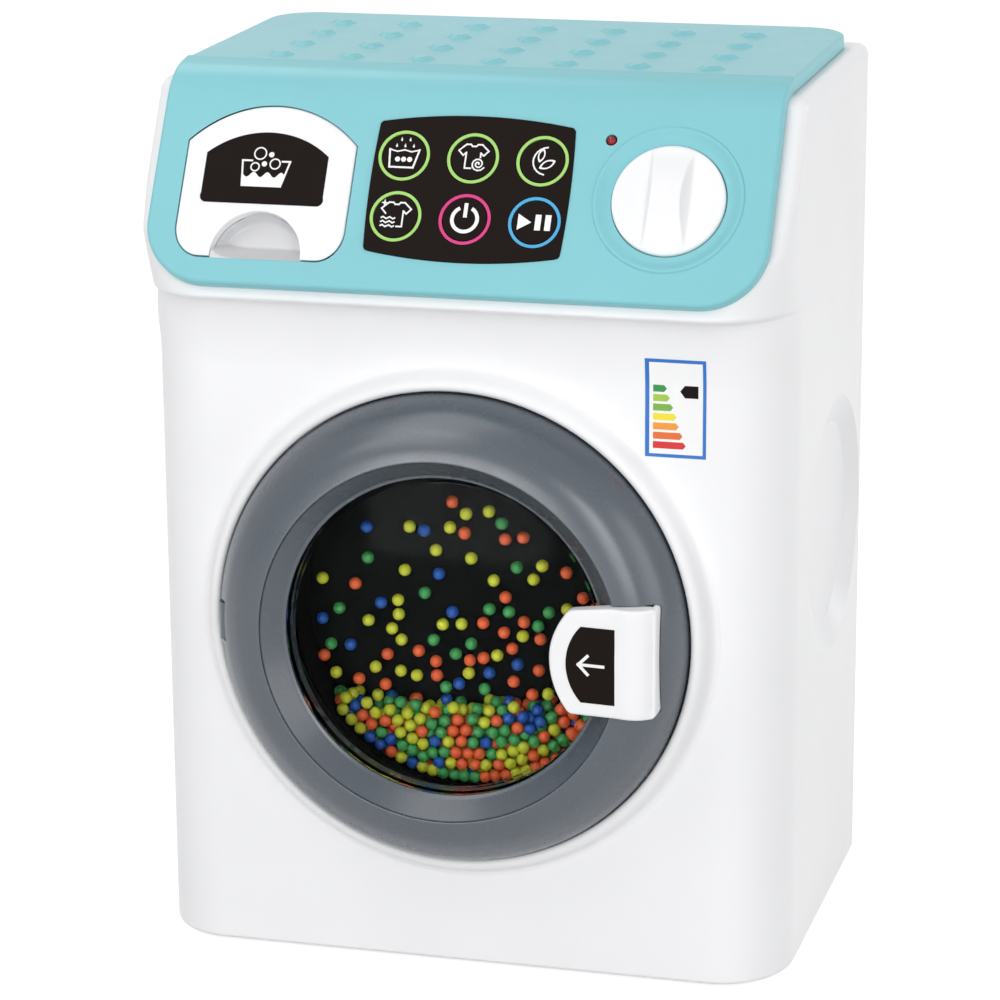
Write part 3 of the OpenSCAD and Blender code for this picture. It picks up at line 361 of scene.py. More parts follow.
def smooth_curve(pts, n=4):
    """Catmull-Rom points through a profile."""
    out = []
    for i in range(len(pts) - 1):
        p0, p1, p2, p3 = (np.array(pts[max(0, min(len(pts) - 1, k))], float)
                          for k in (i - 1, i, i + 1, i + 2))
        for j in range(n):
            t = j / n
            out.append(tuple(0.5 * (2 * p1 + (p2 - p0) * t
                                    + (2 * p0 - 5 * p1 + 4 * p2 - p3) * t * t
                                    + (3 * p1 - p0 - 3 * p2 + p3) * t ** 3)))
    return out + [tuple(pts[-1])]


def soft_min(a, b, k):
    """The smaller of two values, blended where they differ by less than k."""
    h = max(0.0, k - abs(a - b))
    return min(a, b) - h * h / (4 * k)


def soft_max(a, b, k):
    """The larger of two values, blended in the same way."""
    return -soft_min(-a, -b, k)


# ---- carried-over nodes
SLOT_NODES = {
    "shell_white": "front_casing selector_knob drawer_front door_handle",
    "rear_white": "rear_cover battery_door drawer_guide drive_frame",
    "cover_teal": "fascia_cover",
    "key_black": "keypad_bezel key_1 key_2 key_3 key_4 key_5 key_6 drawer_label handle_label",
    "print_white": "icon_1 icon_2 icon_3 icon_4 icon_5 icon_6 drawer_mark handle_mark",
    "ring_green": "key_rings_green",
    "ring_magenta": "key_ring_power",
    "ring_blue": "key_ring_play",
    "lamp_red": "status_lamp",
    "steel": "knob_spindle hinge_pin handle_pin handle_spring drum_axle motor_shaft case_screws",
    "dark_plastic": "rotary_switch touch_switches speaker",
    "board_green": "circuit_board",
    "drawer_grey": "drawer_grip drawer_tray",
    "ring_grey": "door_ring window_retainer hinge_bracket",
    "clear": "door_window drum_disc",
    "drum_black": "drum_tub",
    "bronze": "axle_bush",
    "gear_cream": "drum_gear motor_pinion",
    "motor_metal": "motor_can",
    "cell_wrap": "battery_cells",
    "foot_rubber": "rubber_feet",
    "sticker_blue": "front_sticker",
}
NODE_SLOT = {name: slot for slot, names in SLOT_NODES.items() for name in names.split()}
NODE_SLOT.update({"beads_" + colour: "bead_" + colour for colour in BEAD_RGB})
SMOOTH_TO = math.radians(32)  # edges of the CAD meshes up to this angle are smooth


def smoothing():
    """Node group that welds a CAD mesh and smooths its shallow edges."""
    g = bpy.data.node_groups.new("soft_edges", "GeometryNodeTree")
    g.interface.new_socket("Geometry", in_out="INPUT", socket_type="NodeSocketGeometry")
    g.interface.new_socket("Geometry", in_out="OUTPUT", socket_type="NodeSocketGeometry")
    start, end = g.nodes.new("NodeGroupInput"), g.nodes.new("NodeGroupOutput")
    plain = g.nodes.new("GeometryNodeRemoveAttribute")
    plain.inputs["Name"].default_value = "custom_normal"
    merge = g.nodes.new("GeometryNodeMergeByDistance")
    merge.inputs["Distance"].default_value = 2e-6
    face = g.nodes.new("GeometryNodeSetShadeSmooth")
    face.domain = "FACE"
    edge = g.nodes.new("GeometryNodeSetShadeSmooth")
    edge.domain = "EDGE"
    angle = g.nodes.new("GeometryNodeInputMeshEdgeAngle")
    test = g.nodes.new("FunctionNodeCompare")
    test.data_type = "FLOAT"
    test.operation = "LESS_EQUAL"
    test.inputs[1].default_value = SMOOTH_TO
    g.links.new(angle.outputs["Unsigned Angle"], test.inputs[0])
    g.links.new(test.outputs["Result"], edge.inputs["Shade Smooth"])
    g.links.new(start.outputs[0], plain.inputs["Geometry"])
    for before, after in ((plain, merge), (merge, face), (face, edge)):
        g.links.new(before.outputs["Geometry"], after.inputs["Geometry"])
    g.links.new(edge.outputs["Geometry"], end.inputs[0])
    return g


soft_edges = smoothing()
for name, node in nodes.items():
    node.modifiers.new("soft_edges", "NODES").node_group = soft_edges
    node.data.materials.clear()
    node.data.materials.append(MAT[NODE_SLOT[name]])


# ---- white casing
N_FRONT, N_CORNER, N_SIDE = 8, 20, 56  # points on the three stretches of half an outline
FOOT_ROUND, TOP_ROUND = 1.6, 4.0
SHOULDER, CROWN_D = 84.8, 88.8  # where the rounding to the top starts and ends
CORNER_W, CORNER_D = 24, 27  # width and depth of the front corners at the foot
GRIP_DEPTH, GRIP_EDGE = 4.5, 0.93  # of the side recess, and the share where its floor rounds off


def lean_y(z):
    """Front of the leaning head at height z."""
    return RIM_Y + (z - RIM_Z) * math.tan(SLOPE)


# by height over RISE: the front line, and the width and depth of the front corners
front_line = pchip(
    [-300, 0, 4, 8, 11, 15, 18, 20.5, 22.3, 23.1, 23.5, 24.1, 24.8, 25.6, 26.6, 30],
    [0, 0, -0.3, -0.8, -1.4, -2.5, -3.6, -5, -6.9, -9, -10.2, -11.2, -11.6, -11.4,
     lean_y(RISE + 26.6), lean_y(RISE + 30)])
corner_wide = pchip([-300, 0, 11, 18, 24, 30, 36, 44, 60, 200],
                    [24, 24, 24, 25, 25.5, 21, 13, 5.5, 5.5, 5.5])
corner_deep = pchip([-300, 0, 11, 18, 24, 30, 36, 44, 52, 60, 88, 200],
                    [27, 26, 25, 28, 35, 28, 21, 14, 9, 6.5, 6, 6])


def outer_y(d):
    """Front of the casing at height d over RISE."""
    return 0.0 if d <= 0 else front_line(d) if d < 30 else lean_y(RISE + d)


def tip(y, d):
    """Rise of an outline towards the back, which sets in gradually near the top."""
    return math.tan(TILT) * (y - TOP_Y) * min(1.0, max(0.0, (d - 60) / 24.8))


def grip_oval(t):
    """Centre and half axes of the recess outline at a share t of its depth."""
    return 88 + 9 * t, 135 - 2 * t, 48.5 - 13.5 * t, 43.5 - 9.5 * t


def grip(y, z):
    """Depth of the recess: its oval shrinks and slides back as it gets deeper."""
    def inside(t):
        cy, cz, a, b = grip_oval(t)
        return ((y - cy) / a) ** 2 + ((z - cz) / b) ** 2 <= 1
    if not inside(0):
        return 0.0
    if inside(1):
        return GRIP_DEPTH
    lo, hi = 0.0, 1.0
    for _ in range(18):
        mid = (lo + hi) / 2
        lo, hi = (mid, hi) if inside(mid) else (lo, mid)
    return GRIP_DEPTH * lo


def half_outline(d, y0, cx, cy, half, back_y, dent):
    """Right half of an outline at height d: front, elliptic corner, side."""
    pts = [((half - cx) * i / N_FRONT, y0) for i in range(N_FRONT)]
    for i in range(N_CORNER):
        a = math.pi / 2 * i / N_CORNER
        pts.append((half - cx + cx * math.sin(a), y0 + cy * (1 - math.cos(a))))
    for j in range(N_SIDE + 1):
        y = y0 + cy + (back_y - (y0 + cy)) * j / N_SIDE
        pts.append((half - (grip(y, RISE + d) if dent else 0.0), y))
    return pts


def loft(name, levels, slot=None, dent=True):
    """A closed solid through outlines at rising heights, the same left and right."""
    rows = []
    for level in levels:
        d = level[0]
        right = [(x, y, RISE + d + tip(y, d)) for x, y in half_outline(*level, dent)]
        rows.append(right + [(-x, y, z) for x, y, z in right[:0:-1]])
    faces = strips(rows)
    # caps as strips between the two sides, which stay planar across
    n = len(rows[0])
    for row, turn in ((0, 1), (len(rows) - 1, -1)):
        for i in range(n // 2):
            quad = [row * n + k for k in (i, i + 1, n - (i + 1), (n - i) % n)]
            faces.append(tuple(dict.fromkeys(quad))[::turn])
    return solid_of(name, placed(rows), faces, slot)


def outer_levels():
    """Rounded foot, flat front, cove, leaning head and rounded top."""
    out = []
    for a in range(0, 91, 15):
        inset = FOOT_ROUND * (1 - math.sin(math.radians(a)))
        out.append((-RISE + FOOT_ROUND * (1 - math.cos(math.radians(a))), inset,
                    CORNER_W - inset, CORNER_D - inset, HALF_W - inset, DEPTH))
    for start, stop, step in ((-190, -110, 8), (-110, -19, 2), (-18, 0, 4.5), (0, 22, 1.0),
                              (22, 28, 0.4), (28, 60, 1.6), (60, SHOULDER, 3)):
        out += [(d, outer_y(d), corner_wide(d), corner_deep(d), HALF_W, DEPTH)
                for d in np.arange(start, stop, step)]
    for a in range(0, 91, 10):
        r = math.radians(a)
        d = SHOULDER + TOP_ROUND * math.sin(r)
        out.append((d, lean_y(RISE + d) + 4.5 * (1 - math.cos(r)) ** 1.6, 5.5, 6,
                    HALF_W - TOP_ROUND * (1 - math.cos(r)), DEPTH))
    return out


def inner_levels():
    """The hollow inside, open at the back."""
    below = [-RISE + WALL, *np.arange(-190, -110, 10), *np.arange(-110, -19, 2.5),
             -15, 0, 12, 26.5]
    half, back_y = HALF_W - WALL, DEPTH + 5
    out = [(d, WALL, 21.5, 23.5, half, back_y) for d in below]
    for d in (31, 34, 38, 44, 52, 60, 84, CROWN_D - WALL):
        out.append((d, lean_y(RISE + d) + WALL / math.cos(SLOPE), max(2, corner_wide(d) - WALL),
                    max(2, corner_deep(d) - WALL), half, back_y))
    return out


def grip_cut(side, seg=120):
    """Tapered oval cutter for the recess of one side wall."""
    rows = []
    for t, sink in ((-0.3, 0.0), (0.0, 0.0), (GRIP_EDGE, 0.0), (0.975, 0.2), (1.0, 0.25)):
        cy, cz, a, b = grip_oval(t)
        x = side * (HALF_W - GRIP_DEPTH * min(t, GRIP_EDGE) - sink)
        rows.append([(x, cy + a * c, cz + b * s) for c, s in circle(1, seg)])
    return solid_of("grip_cut", placed(rows), strips(rows) + ends(rows, 1))


def crisp_oval(o):
    """Marks the outline of each recess as a crisp edge."""
    cy, cz, a, b = grip_oval(0.0)

    def near(i):
        x, y, z = (c / MM for c in o.data.vertices[i].co)
        y, z = y - SHIFT_Y, z - SHIFT_Z
        off = ((y - cy) / a) ** 2 + ((z - cz) / b) ** 2 - 1
        return abs(x) > HALF_W - 0.05 and abs(off) < 0.01
    for e in o.data.edges:
        if all(near(i) for i in e.vertices):
            e.use_edge_sharp = True


# the sheet that follows the sloping panel, the bend and the top, in its own length s
FOOT_V, BEND_R, LOW_R, REAR_R = -22.8, 16.0, 21.0, 16.0
COVER_HALF = HALF_W - 5.8
TURN = math.pi / 2 - SLOPE - TILT
CROSS_V = ((TOP_Z - RIM_Z + math.tan(TILT) * (RIM_Y - TOP_Y))
           / (math.cos(SLOPE) - math.tan(TILT) * math.sin(SLOPE)))
BEND_V = CROSS_V - BEND_R * math.tan(TURN / 2)
BEND_CY = RIM_Y + BEND_V * math.sin(SLOPE) + BEND_R * math.cos(SLOPE)
BEND_CZ = RIM_Z + BEND_V * math.cos(SLOPE) - BEND_R * math.sin(SLOPE)
START_Y = BEND_CY - BEND_R * math.sin(TILT)
START_Z = BEND_CZ + BEND_R * math.cos(TILT)
LEN_1 = BEND_V - FOOT_V
LEN_2 = BEND_R * TURN
LEN_3 = (DEPTH - 0.2 - START_Y) / math.cos(TILT)
LEN_ALL = LEN_1 + LEN_2 + LEN_3
CREASE_S = LEN_1 + LEN_2 + (36.2 - START_Y) / math.cos(TILT)
CREASE_FINE = (-1.6, -0.8, 0, 0.8, 1.6, 2.4, 3.2, 4.5)


def sheet_at(s, h):
    """Place (y, z) on the sheet at length s, h above the casing's rim."""
    if s <= LEN_1:
        return (RIM_Y + (FOOT_V + s) * math.sin(SLOPE) - h * math.cos(SLOPE),
                RIM_Z + (FOOT_V + s) * math.cos(SLOPE) + h * math.sin(SLOPE))
    if s <= LEN_1 + LEN_2:
        a = SLOPE + (s - LEN_1) / BEND_R
        return (BEND_CY - (BEND_R + h) * math.cos(a), BEND_CZ + (BEND_R + h) * math.sin(a))
    return (START_Y + (s - LEN_1 - LEN_2) * math.cos(TILT) - h * math.sin(TILT),
            START_Z + (s - LEN_1 - LEN_2) * math.sin(TILT) + h * math.cos(TILT))


def sheet_side(t, fine):
    """Right edge as (x, s), drawn in by t: low corner, bend, crease, rear corner."""
    angles = [math.radians(a) for a in range(0, 91, 5 if fine else 15)]
    bend = 20 if fine else 8
    low, rear = LOW_R - t, REAR_R - t
    pts = [(COVER_HALF - LOW_R + low * math.sin(a), LOW_R - low * math.cos(a)) for a in angles]
    pts += [(COVER_HALF - t, LEN_1 + LEN_2 * k / bend) for k in range(bend + 1)]
    if fine:
        pts += [(COVER_HALF - t, CREASE_S + x) for x in CREASE_FINE
                if CREASE_S + x > LEN_1 + LEN_2 + 0.3]
    return pts + [(COVER_HALF - REAR_R + rear * math.cos(a),
                   LEN_ALL - REAR_R + rear * math.sin(a)) for a in angles]


def sheet(name, levels, fine=True, band=0.0, slot=None):
    """A slab of the sheet through (inset, height) levels, raised along the crease."""
    rows = []
    for t, h in levels:
        right = []
        for x, s in sheet_side(t, fine):
            lift = band * math.exp(-((s - CREASE_S) / 2.0) ** 2) * min(1.0, max(0.0, h / PROUD))
            right.append((x, *sheet_at(s, h + lift)))
        rows.append(right + [(-x, y, z) for x, y, z in right[::-1]])
    n = len(rows[0])
    faces = strips(rows)
    last = (len(rows) - 1) * n
    for i in range(n // 2 - 1):
        faces.append((i, i + 1, n - 2 - i, n - 1 - i))
        faces.append((last + n - 1 - i, last + n - 2 - i, last + i + 1, last + i))
    return solid_of(name, placed(rows), faces, slot)


HINGE_X = -(RING_R - 4.9)
HANDLE_R = RING_R - 6.9  # right end of the handle
HANDLE_MID, HANDLE_HALF = -1.1, 18.0
SEAT_R = 62  # opening of the casing behind the door


def door_span(half, mid=0.0):
    """Heights of a cut round the door's middle."""
    return (DOOR_Z + mid - half, DOOR_Z + mid + half)


casing = loft("casing_shell", outer_levels(), "shell_white", dent=False)
boolean(casing, [
    loft("cut_in", inner_levels()),
    grip_cut(1),
    grip_cut(-1),
    sheet("cut_sheet", [(6.5, -9), (6.5, 1)], False),  # the opening under the cover
    disc_cut("cut_seat", SEAT_R, -WALL - 1, 3, door_at),
    box("cut_hinge", (HINGE_X - 3.6, HINGE_X + 4.6), (-1, WALL + 1), door_span(6.8)),
    box("cut_latch", (59, HANDLE_R + 0.9), (-1, WALL + 1), door_span(6.5)),
], angle=40)
clean(casing)
# from the lip's inner edge outwards
LIP = ((0, -1.0), (0, 6.6), (0.25, 7.3), (0.8, 7.8), (1.5, 8.0), (2.2, 7.95), (3.0, 7.5),
       (3.8, 6.6), (4.5, 5.1), (5.0, 3.5), (5.5, 1.9), (6.1, 0.8), (6.9, 0.25), (8.0, 0.0),
       (8.0, -1.0))
lip = revolve("lip", [(LIP_R + out, f) for out, f in LIP], door_at, slot="shell_white",
              closed=True)
casing = join([casing, lip], "casing_shell")
shade(casing, 40)
crisp_oval(casing)
weighted(casing)
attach(casing, "casing")
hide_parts("front_casing")

# ---- teal cover
ROLL = 1.3  # radius of the cover's rolled edge
COVER_THICK, BAND = 2.2, 0.55  # BAND: height of the raised band at the crease
KNOB_R, HUB_HOLE_R, LAMP_HOLE_R = 18.15, 5.6, 1.9
PAD_R = 26  # solid behind the dish
KEY_GAP, DRAWER_GAP = 0.15, 0.45  # round the keypad and the drawer front
DRAWER_U = -63.1
KEYS, DISH, LAMP = panel_at(4.15, 12.25), panel_at(68.5, 11.6), panel_at(48, 30.7)
# (radius, height) of the dish, from the knob's edge, of its rim and of a stud
DISH_WALL = ((0.3, -3.9), (0.3, -1.25), (0.45, -1.1), (0.9, -1.08), (1.6, -1.0), (2.3, -0.82),
             (3.0, -0.52), (3.7, -0.12), (4.4, 0.36), (4.9, 0.66), (5.3, 0.8), (5.5, 0.84),
             (5.5, 3))
DISH_RIM = ((0, -2), (24.6, -2), (24.6, -0.01), (24.35, 0.06), (24.22, 0.22), (24.15, 0.42),
            (24.05, 0.58), (23.9, 0.69), (23.7, 0.745), (23.4, 0.75), (0, 0.75))
STUD = ((5.0, -0.5), (4.88, 0.0), (4.75, 0.06), (2.75, 1.1), (2.5, 1.18), (2.2, 1.2))
STUD_PITCH, STUD_ROWS = 24.1, (47.3, 69.9, 92.5, 115.1)


def outline_drawer(g):
    """Drawer front grown by g: arched above, straight sides and rounded lower corners."""
    half, corner, top_r, top_c = 28.2 + g, 8.8 + g, 42.2 + g, -9.9
    pts = []
    for a in range(-90, 1, 6):
        r = math.radians(a)
        pts.append((half - corner + corner * math.cos(r), -3.26 + corner * math.sin(r)))
    a0 = math.atan2(math.sqrt(top_r ** 2 - half ** 2), half)
    for k in range(25):
        a = a0 + (math.pi / 2 - a0) * k / 24
        pts.append((top_r * math.cos(a), top_c + top_r * math.sin(a)))
    return pts + [(-x, y) for x, y in pts[-2::-1]]


def outline_keypad(g):
    """Keypad grown by g: four shallow arcs, with its corners on a circle."""
    tall, wide, corner = (24.5, 178), (32.7, 292), 38.1  # reach and radius of the arcs
    arcs = ((0, tall[0] - tall[1], tall[1] + g), (0, tall[1] - tall[0], tall[1] + g),
            (wide[0] - wide[1], 0, wide[1] + g), (wide[1] - wide[0], 0, wide[1] + g))
    pts = []
    for c, s in circle(1, 240):
        reach = corner + g
        for cx, cy, r in arcs:
            b = c * cx + s * cy
            reach = min(reach, b + math.sqrt(b * b - cx * cx - cy * cy + r * r))
        pts.append((reach * c, reach * s))
    return pts


def stud(x0, y0):
    """A six-sided stud on the top, which follows its tilt."""
    z0 = START_Z + (y0 - START_Y) * math.tan(TILT) + PROUD / math.cos(TILT)
    rows = [[(x0 + x, y0 + y, z0 + h + y * math.tan(TILT)) for x, y in circle(r, 6)]
            for r, h in STUD]
    return solid_of("stud", placed(rows), strips(rows) + ends(rows), "cover_teal")


# (inset, height) of the edge: the shadow gap at its foot, the wall and the roll
edge = [(0.75, 0), (0.75, 0.4), (0, 0.5), (0, PROUD - ROLL)]
for a in range(10, 91, 10):
    r = math.radians(a)
    edge.append((ROLL * (1 - math.cos(r)), PROUD - ROLL + ROLL * math.sin(r)))
cover = sheet("cover_shell", edge, True, BAND, "cover_teal")
boolean(cover, [sheet("hollow", [(COVER_THICK, -1), (COVER_THICK, PROUD - COVER_THICK)])])
boolean(cover, [disc_cut("pad", PAD_R, -5.9, -0.9, DISH, 96), revolve("rim_tool", DISH_RIM, DISH)],
        "UNION")
boolean(cover, [
    revolve("dish_tool", [(0, -3.9)] + [(KNOB_R + out, h) for out, h in DISH_WALL] + [(0, 3)],
            DISH),
    disc_cut("bore", HUB_HOLE_R, -8, -2, DISH, 48),
    prism("pad_hole", outline_keypad(KEY_GAP), KEYS, -4, 2),
    disc_cut("lamp_hole", LAMP_HOLE_R, -4, 2, LAMP, 32),
    prism("drawer_hole", outline_drawer(DRAWER_GAP),
          lambda x, y, depth: (DRAWER_U + x, depth, PANEL_Z + y), -40, 24),
], angle=32)
clean(cover)
studs = [stud(k * STUD_PITCH, y) for y in STUD_ROWS for k in range(-3, 4)]
cover = join([cover] + studs, "cover_shell")
shade(cover, 20)
weighted(cover)
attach(cover, "casing")
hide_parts("fascia_cover")

# ---- door ring
R = RING_R
CROWN = smooth_curve([
    (R, 8), (R - 0.5, 10), (R - 1.4, 12.4), (R - 2.9, 15.2), (R - 4.9, 17.9), (R - 7.4, 20.2),
    (R - 10.4, 22.3), (R - 14, 23.8), (R - 17.6, 24.7)])
RING_LINE = [
    (R - 0.6, 1.3), (R - 0.15, 1.6), (R, 2.1), *CROWN,
    (R - 18.15, 24.78), (R - 18.45, 24.7), (R - 18.6, 24.45), (R - 18.68, 24.05),
    # the cone down to the window, its seat, and the hollow back
    (R - 18.95, 23.75), (55.6, 19.65), (54.4, 18.2), (53.9, 17.75), (53.4, 17.55),
    (53.15, 17.3), (WINDOW_R, 16.9), (WINDOW_R, 15.7), (56.3, 15.7), (56.3, 8.0), (60.0, 8.0),
    (60.6, 17.0), (61.4, 20.0), (63.4, 20.2), (R - 9.4, 17.6), (R - 5.2, 13.5), (R - 2.4, 7.6),
    (R - 2.4, 1.3)]
INSIDE = [(0, 1.4), (R - 0.8, 1.4), (R - 0.8, 8), (R - 2.5, 12.4), (R - 4, 14.6),
          (R - 6.2, 16.8), (0, 16.8)]
POCKET_X = (58.9, HANDLE_R + 0.3)
POCKET_Z = door_span(HANDLE_HALF + 0.25, HANDLE_MID)
NOTCH_X = (-100, HINGE_X + 4.2)

ring = revolve("door_ring_shell", RING_LINE, door_at, seg=192, slot="ring_grey", closed=True)
# solid stretches of the ring behind the hinge and the handle
solid_l = box("solid_l", (-77, -64), (-16.5, -2), door_span(14), slot="ring_grey")
solid_r = box("solid_r", (57, 76.2), (-13.9, -2), door_span(24.4), slot="ring_grey")
for block in (solid_l, solid_r):
    boolean(block, [revolve("keep", INSIDE, door_at, seg=128)], "INTERSECT", "EXACT")
boolean(ring, [
    box("notch", NOTCH_X, (-17, 10), door_span(6.7), 0.8),
    box("pocket", POCKET_X, (-60, -14.2), POCKET_Z, 1.6),
    box("wing", (POCKET_X[0] - 14, POCKET_X[0] + 1), (-60, -22), POCKET_Z),
], angle=32)
clean(ring)
boolean(solid_l, [box("notch", NOTCH_X, (-18, 10), door_span(6.7))])
boolean(solid_r, [box("slot", (60.6, POCKET_X[1]), (-20, 10), door_span(5.9))])
ring = join([ring, solid_l, solid_r], "door_ring_shell")
shade(ring, 32)
weighted(ring)
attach(ring, "door")
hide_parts("door_ring")

# ---- door window
GLASS_F, BULGE = 16.8, 5.0  # place of the window's edge and its rise to the middle
SPHERE = (WINDOW_R ** 2 + BULGE ** 2) / (2 * BULGE)


def dome(r, h):
    """The window's face at radius r, with its middle h before its edge."""
    return GLASS_F + h - SPHERE + math.sqrt(SPHERE ** 2 - r * r)


glass_line = [(0.0, dome(0, BULGE))]
glass_line += [(r, dome(r, BULGE)) for r in np.linspace(1.5, 52.6, 36)]
glass_line += [(52.85, 16.75), (53.0, 16.5), (53.0, 15.6), (56.1, 15.6), (56.1, 13.4),
               (51.1, 13.4)]
glass_line += [(r, dome(r, BULGE - 2)) for r in np.linspace(51.0, 1.5, 36)]
glass_line += [(0.0, dome(0, BULGE - 2))]
glass = revolve("window_glass", glass_line, door_at, slot="clear", angle=30)
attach(glass, "door")
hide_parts("door_window")

# ---- door handle
ARC_X, ARC_R, ARC_BLEND = 65.0, 28.0, 3.0  # left edge of the handle
HANDLE_CORNER = 1.6
FALL_X, FALL = 57.0, 0.13  # left of here the upper edge falls, by this slope
STEM_X = 59.4  # left side of the block behind the handle's face
handle_f = pchip(
    [30, 40, 50, 57, 59.2, 61, 63, 65.2, 67.6, 69.6, HANDLE_R - 0.6, HANDLE_R],
    [25.2, 25.8, 26.71, 27.35, 27.6, 28.05, 28.35, 28.2, 27.4, 26.0, 24.4, 23.2])


def cap_form(name, outline, centre, top, low, at, edge, slot):
    """A plate with that outline, its face at top(x, y) and its back at low(x, y)."""
    out = np.array(outline, float)
    c = np.array(centre, float)
    t = np.roll(out, -1, 0) - np.roll(out, 1, 0)
    norm = np.stack([t[:, 1], -t[:, 0]], 1) / np.linalg.norm(t, axis=1)[:, None]
    norm *= np.sign(((out - c) * norm).sum(1))[:, None]
    inset = out - norm * edge
    rows = [[(x, y, top(x, y)) for x, y in c + (inset - c) * r]
            for r in (0.35, 0.6, 0.78, 0.9, 1.0)]
    for a in (15, 30, 45, 60, 75, 90):
        s, drop = edge * math.sin(math.radians(a)), edge * (1 - math.cos(math.radians(a)))
        rows.append([(q[0] + n[0] * s, q[1] + n[1] * s, top(q[0], q[1]) - drop)
                     for q, n in zip(inset, norm)])
    rows.append([(x, y, low(x, y)) for x, y in out])
    n = len(out)
    verts = [(*c, top(*c)), *placed(rows), (*c, low(*c))]
    faces = [(0, 1 + (k + 1) % n, 1 + k) for k in range(n)]
    faces += [tuple(1 + v for v in f) for f in strips(rows)]
    last = 1 + (len(rows) - 1) * n
    faces += [(len(verts) - 1, last + k, last + (k + 1) % n) for k in range(n)]
    o = solid_of(name, [at(*v) for v in verts], faces, slot)
    shade(o, 50)
    return o


def outline_handle():
    """D shape: an arc at the left, and else straight; its upper edge falls to the left."""
    h, corner, blend = HANDLE_HALF, HANDLE_CORNER, ARC_BLEND
    # centre of the rounding between the arc and a straight edge
    bx, by = ARC_X - math.sqrt((ARC_R - blend) ** 2 - (h - blend) ** 2), h - blend
    swing = math.pi - math.atan2(by, ARC_X - bx)
    arc, turn, right = [], [], []
    for k in range(1, 36):
        a = swing + (2 * math.pi - 2 * swing) * k / 36
        arc.append((ARC_X + ARC_R * math.cos(a), ARC_R * math.sin(a)))
    for k in range(9):
        a = math.pi / 2 + (swing - math.pi / 2) * k / 8
        turn.append((bx + blend * math.cos(a), by + blend * math.sin(a)))
    for k in range(0, 91, 15):
        a = math.radians(k)
        right.append((HANDLE_R - corner + corner * math.cos(a),
                      h - corner + corner * math.sin(a)))
    top = [(HANDLE_R - corner + (bx - HANDLE_R + corner) * k / 12, h) for k in range(1, 12)]
    side = [(HANDLE_R, -(h - corner) + 2 * (h - corner) * k / 12) for k in range(1, 12)]
    upper = right + top + turn
    pts = side + upper + arc + [(x, -y) for x, y in upper[::-1]]
    return [(x, y + HANDLE_MID - max(0.0, y / h) * max(0.0, FALL_X - x) * FALL) for x, y in pts]


grip_piece = cap_form("door_grip", outline_handle(), (58, HANDLE_MID),
                      lambda x, y: handle_f(x), lambda x, y: 22.3 if x < STEM_X else 17.0,
                      door_at, 0.9, "shell_white")
stem = box("stem", (STEM_X, HANDLE_R - 0.02), (-21.4, -15.9),
           door_span(HANDLE_HALF, HANDLE_MID), 1.4, "shell_white")
arm = box("arm", (HANDLE_R - 9.6, HANDLE_R - 4.2), (-17, 5.4), door_span(5), slot="shell_white")
hook = box("hook", (HANDLE_R - 7, HANDLE_R - 2.4), (3.2, 5.4), door_span(5), slot="shell_white")
grip_piece = join([grip_piece, stem, arm, hook], "door_grip")
shade(grip_piece, 40)
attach(grip_piece, "handle")
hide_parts("door_handle")

# ---- selector knob
KNOB_RIM = ((17.45, 0.37), (17.7, 0.28), (17.92, 0.12), (18.07, -0.1), (KNOB_R, -0.4),
            (KNOB_R, -3.0), (17.8, -3.4), (5.2, -3.4), (5.2, -6.2))


def knob_height(x, y):
    """Disc face with a bar that swells to the middle between two drafted flanks."""
    face, tall, run, half = 0.4, 5.0, 1.9, 4.8
    swell = max(0.0, 1 - (y / 17.0) ** 2)
    bar = face + tall * swell ** 1.6
    flank = face + tall * (half + run - abs(x)) / run
    return soft_max(soft_min(bar, flank, 0.5), face, 1.0)


def knob(seg=192):
    """The knob's cap, closed behind by its hub."""
    rows = [[(x, y, knob_height(x, y)) for x, y in circle(r, seg)]
            for r in np.linspace(0.25, 17.2, 80)]
    rows += [[(x, y, h) for x, y in circle(r, seg)] for r, h in KNOB_RIM]
    faces = [(0, 1 + k, 1 + (k + 1) % seg) for k in range(seg)]
    faces += [tuple(1 + v for v in f) for f in strips(rows)]
    last = 1 + (len(rows) - 1) * seg
    faces.append(tuple(range(last, last + seg)))
    verts = [DISH(0, 0, knob_height(0, 0))] + placed(rows, DISH)
    o = solid_of("knob_cap", verts, faces, "shell_white")
    shade(o, 50)
    return o


cap = knob()
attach(cap, "selector")
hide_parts("selector_knob")

# ---- drawer front and its scoop
SCOOP = panel_at(-63.5, -13.5)
SCOOP_R, SCOOP_BACK = 15.3, -9.4


def at_drawer(x, y, f):
    """Drawer coordinates: x right, y straight up, f the height out over the panel's plane."""
    return (DRAWER_U + x, PANEL_Y + y * math.tan(SLOPE) - f / math.cos(SLOPE), PANEL_Z + y)


def scoop_depth(x, y):
    """Depth of the scoop behind the panel: a sloping floor and a hollow wall above it."""
    near = 15.22 - math.hypot(x, max(0.0, y))
    wall = 0.2 + 8.0 * math.sqrt(max(0.0, 1 - (1 - min(1.0, max(0.0, near) / 1.6)) ** 2))
    lift_left = 2.6 * math.exp(-(x + 14.5) / 2.6)
    floor = 0.35 + max(0.0, y + 0.9 - lift_left) * 1.22
    return soft_min(soft_min(wall, 8.2, 0.6), floor, 0.5)


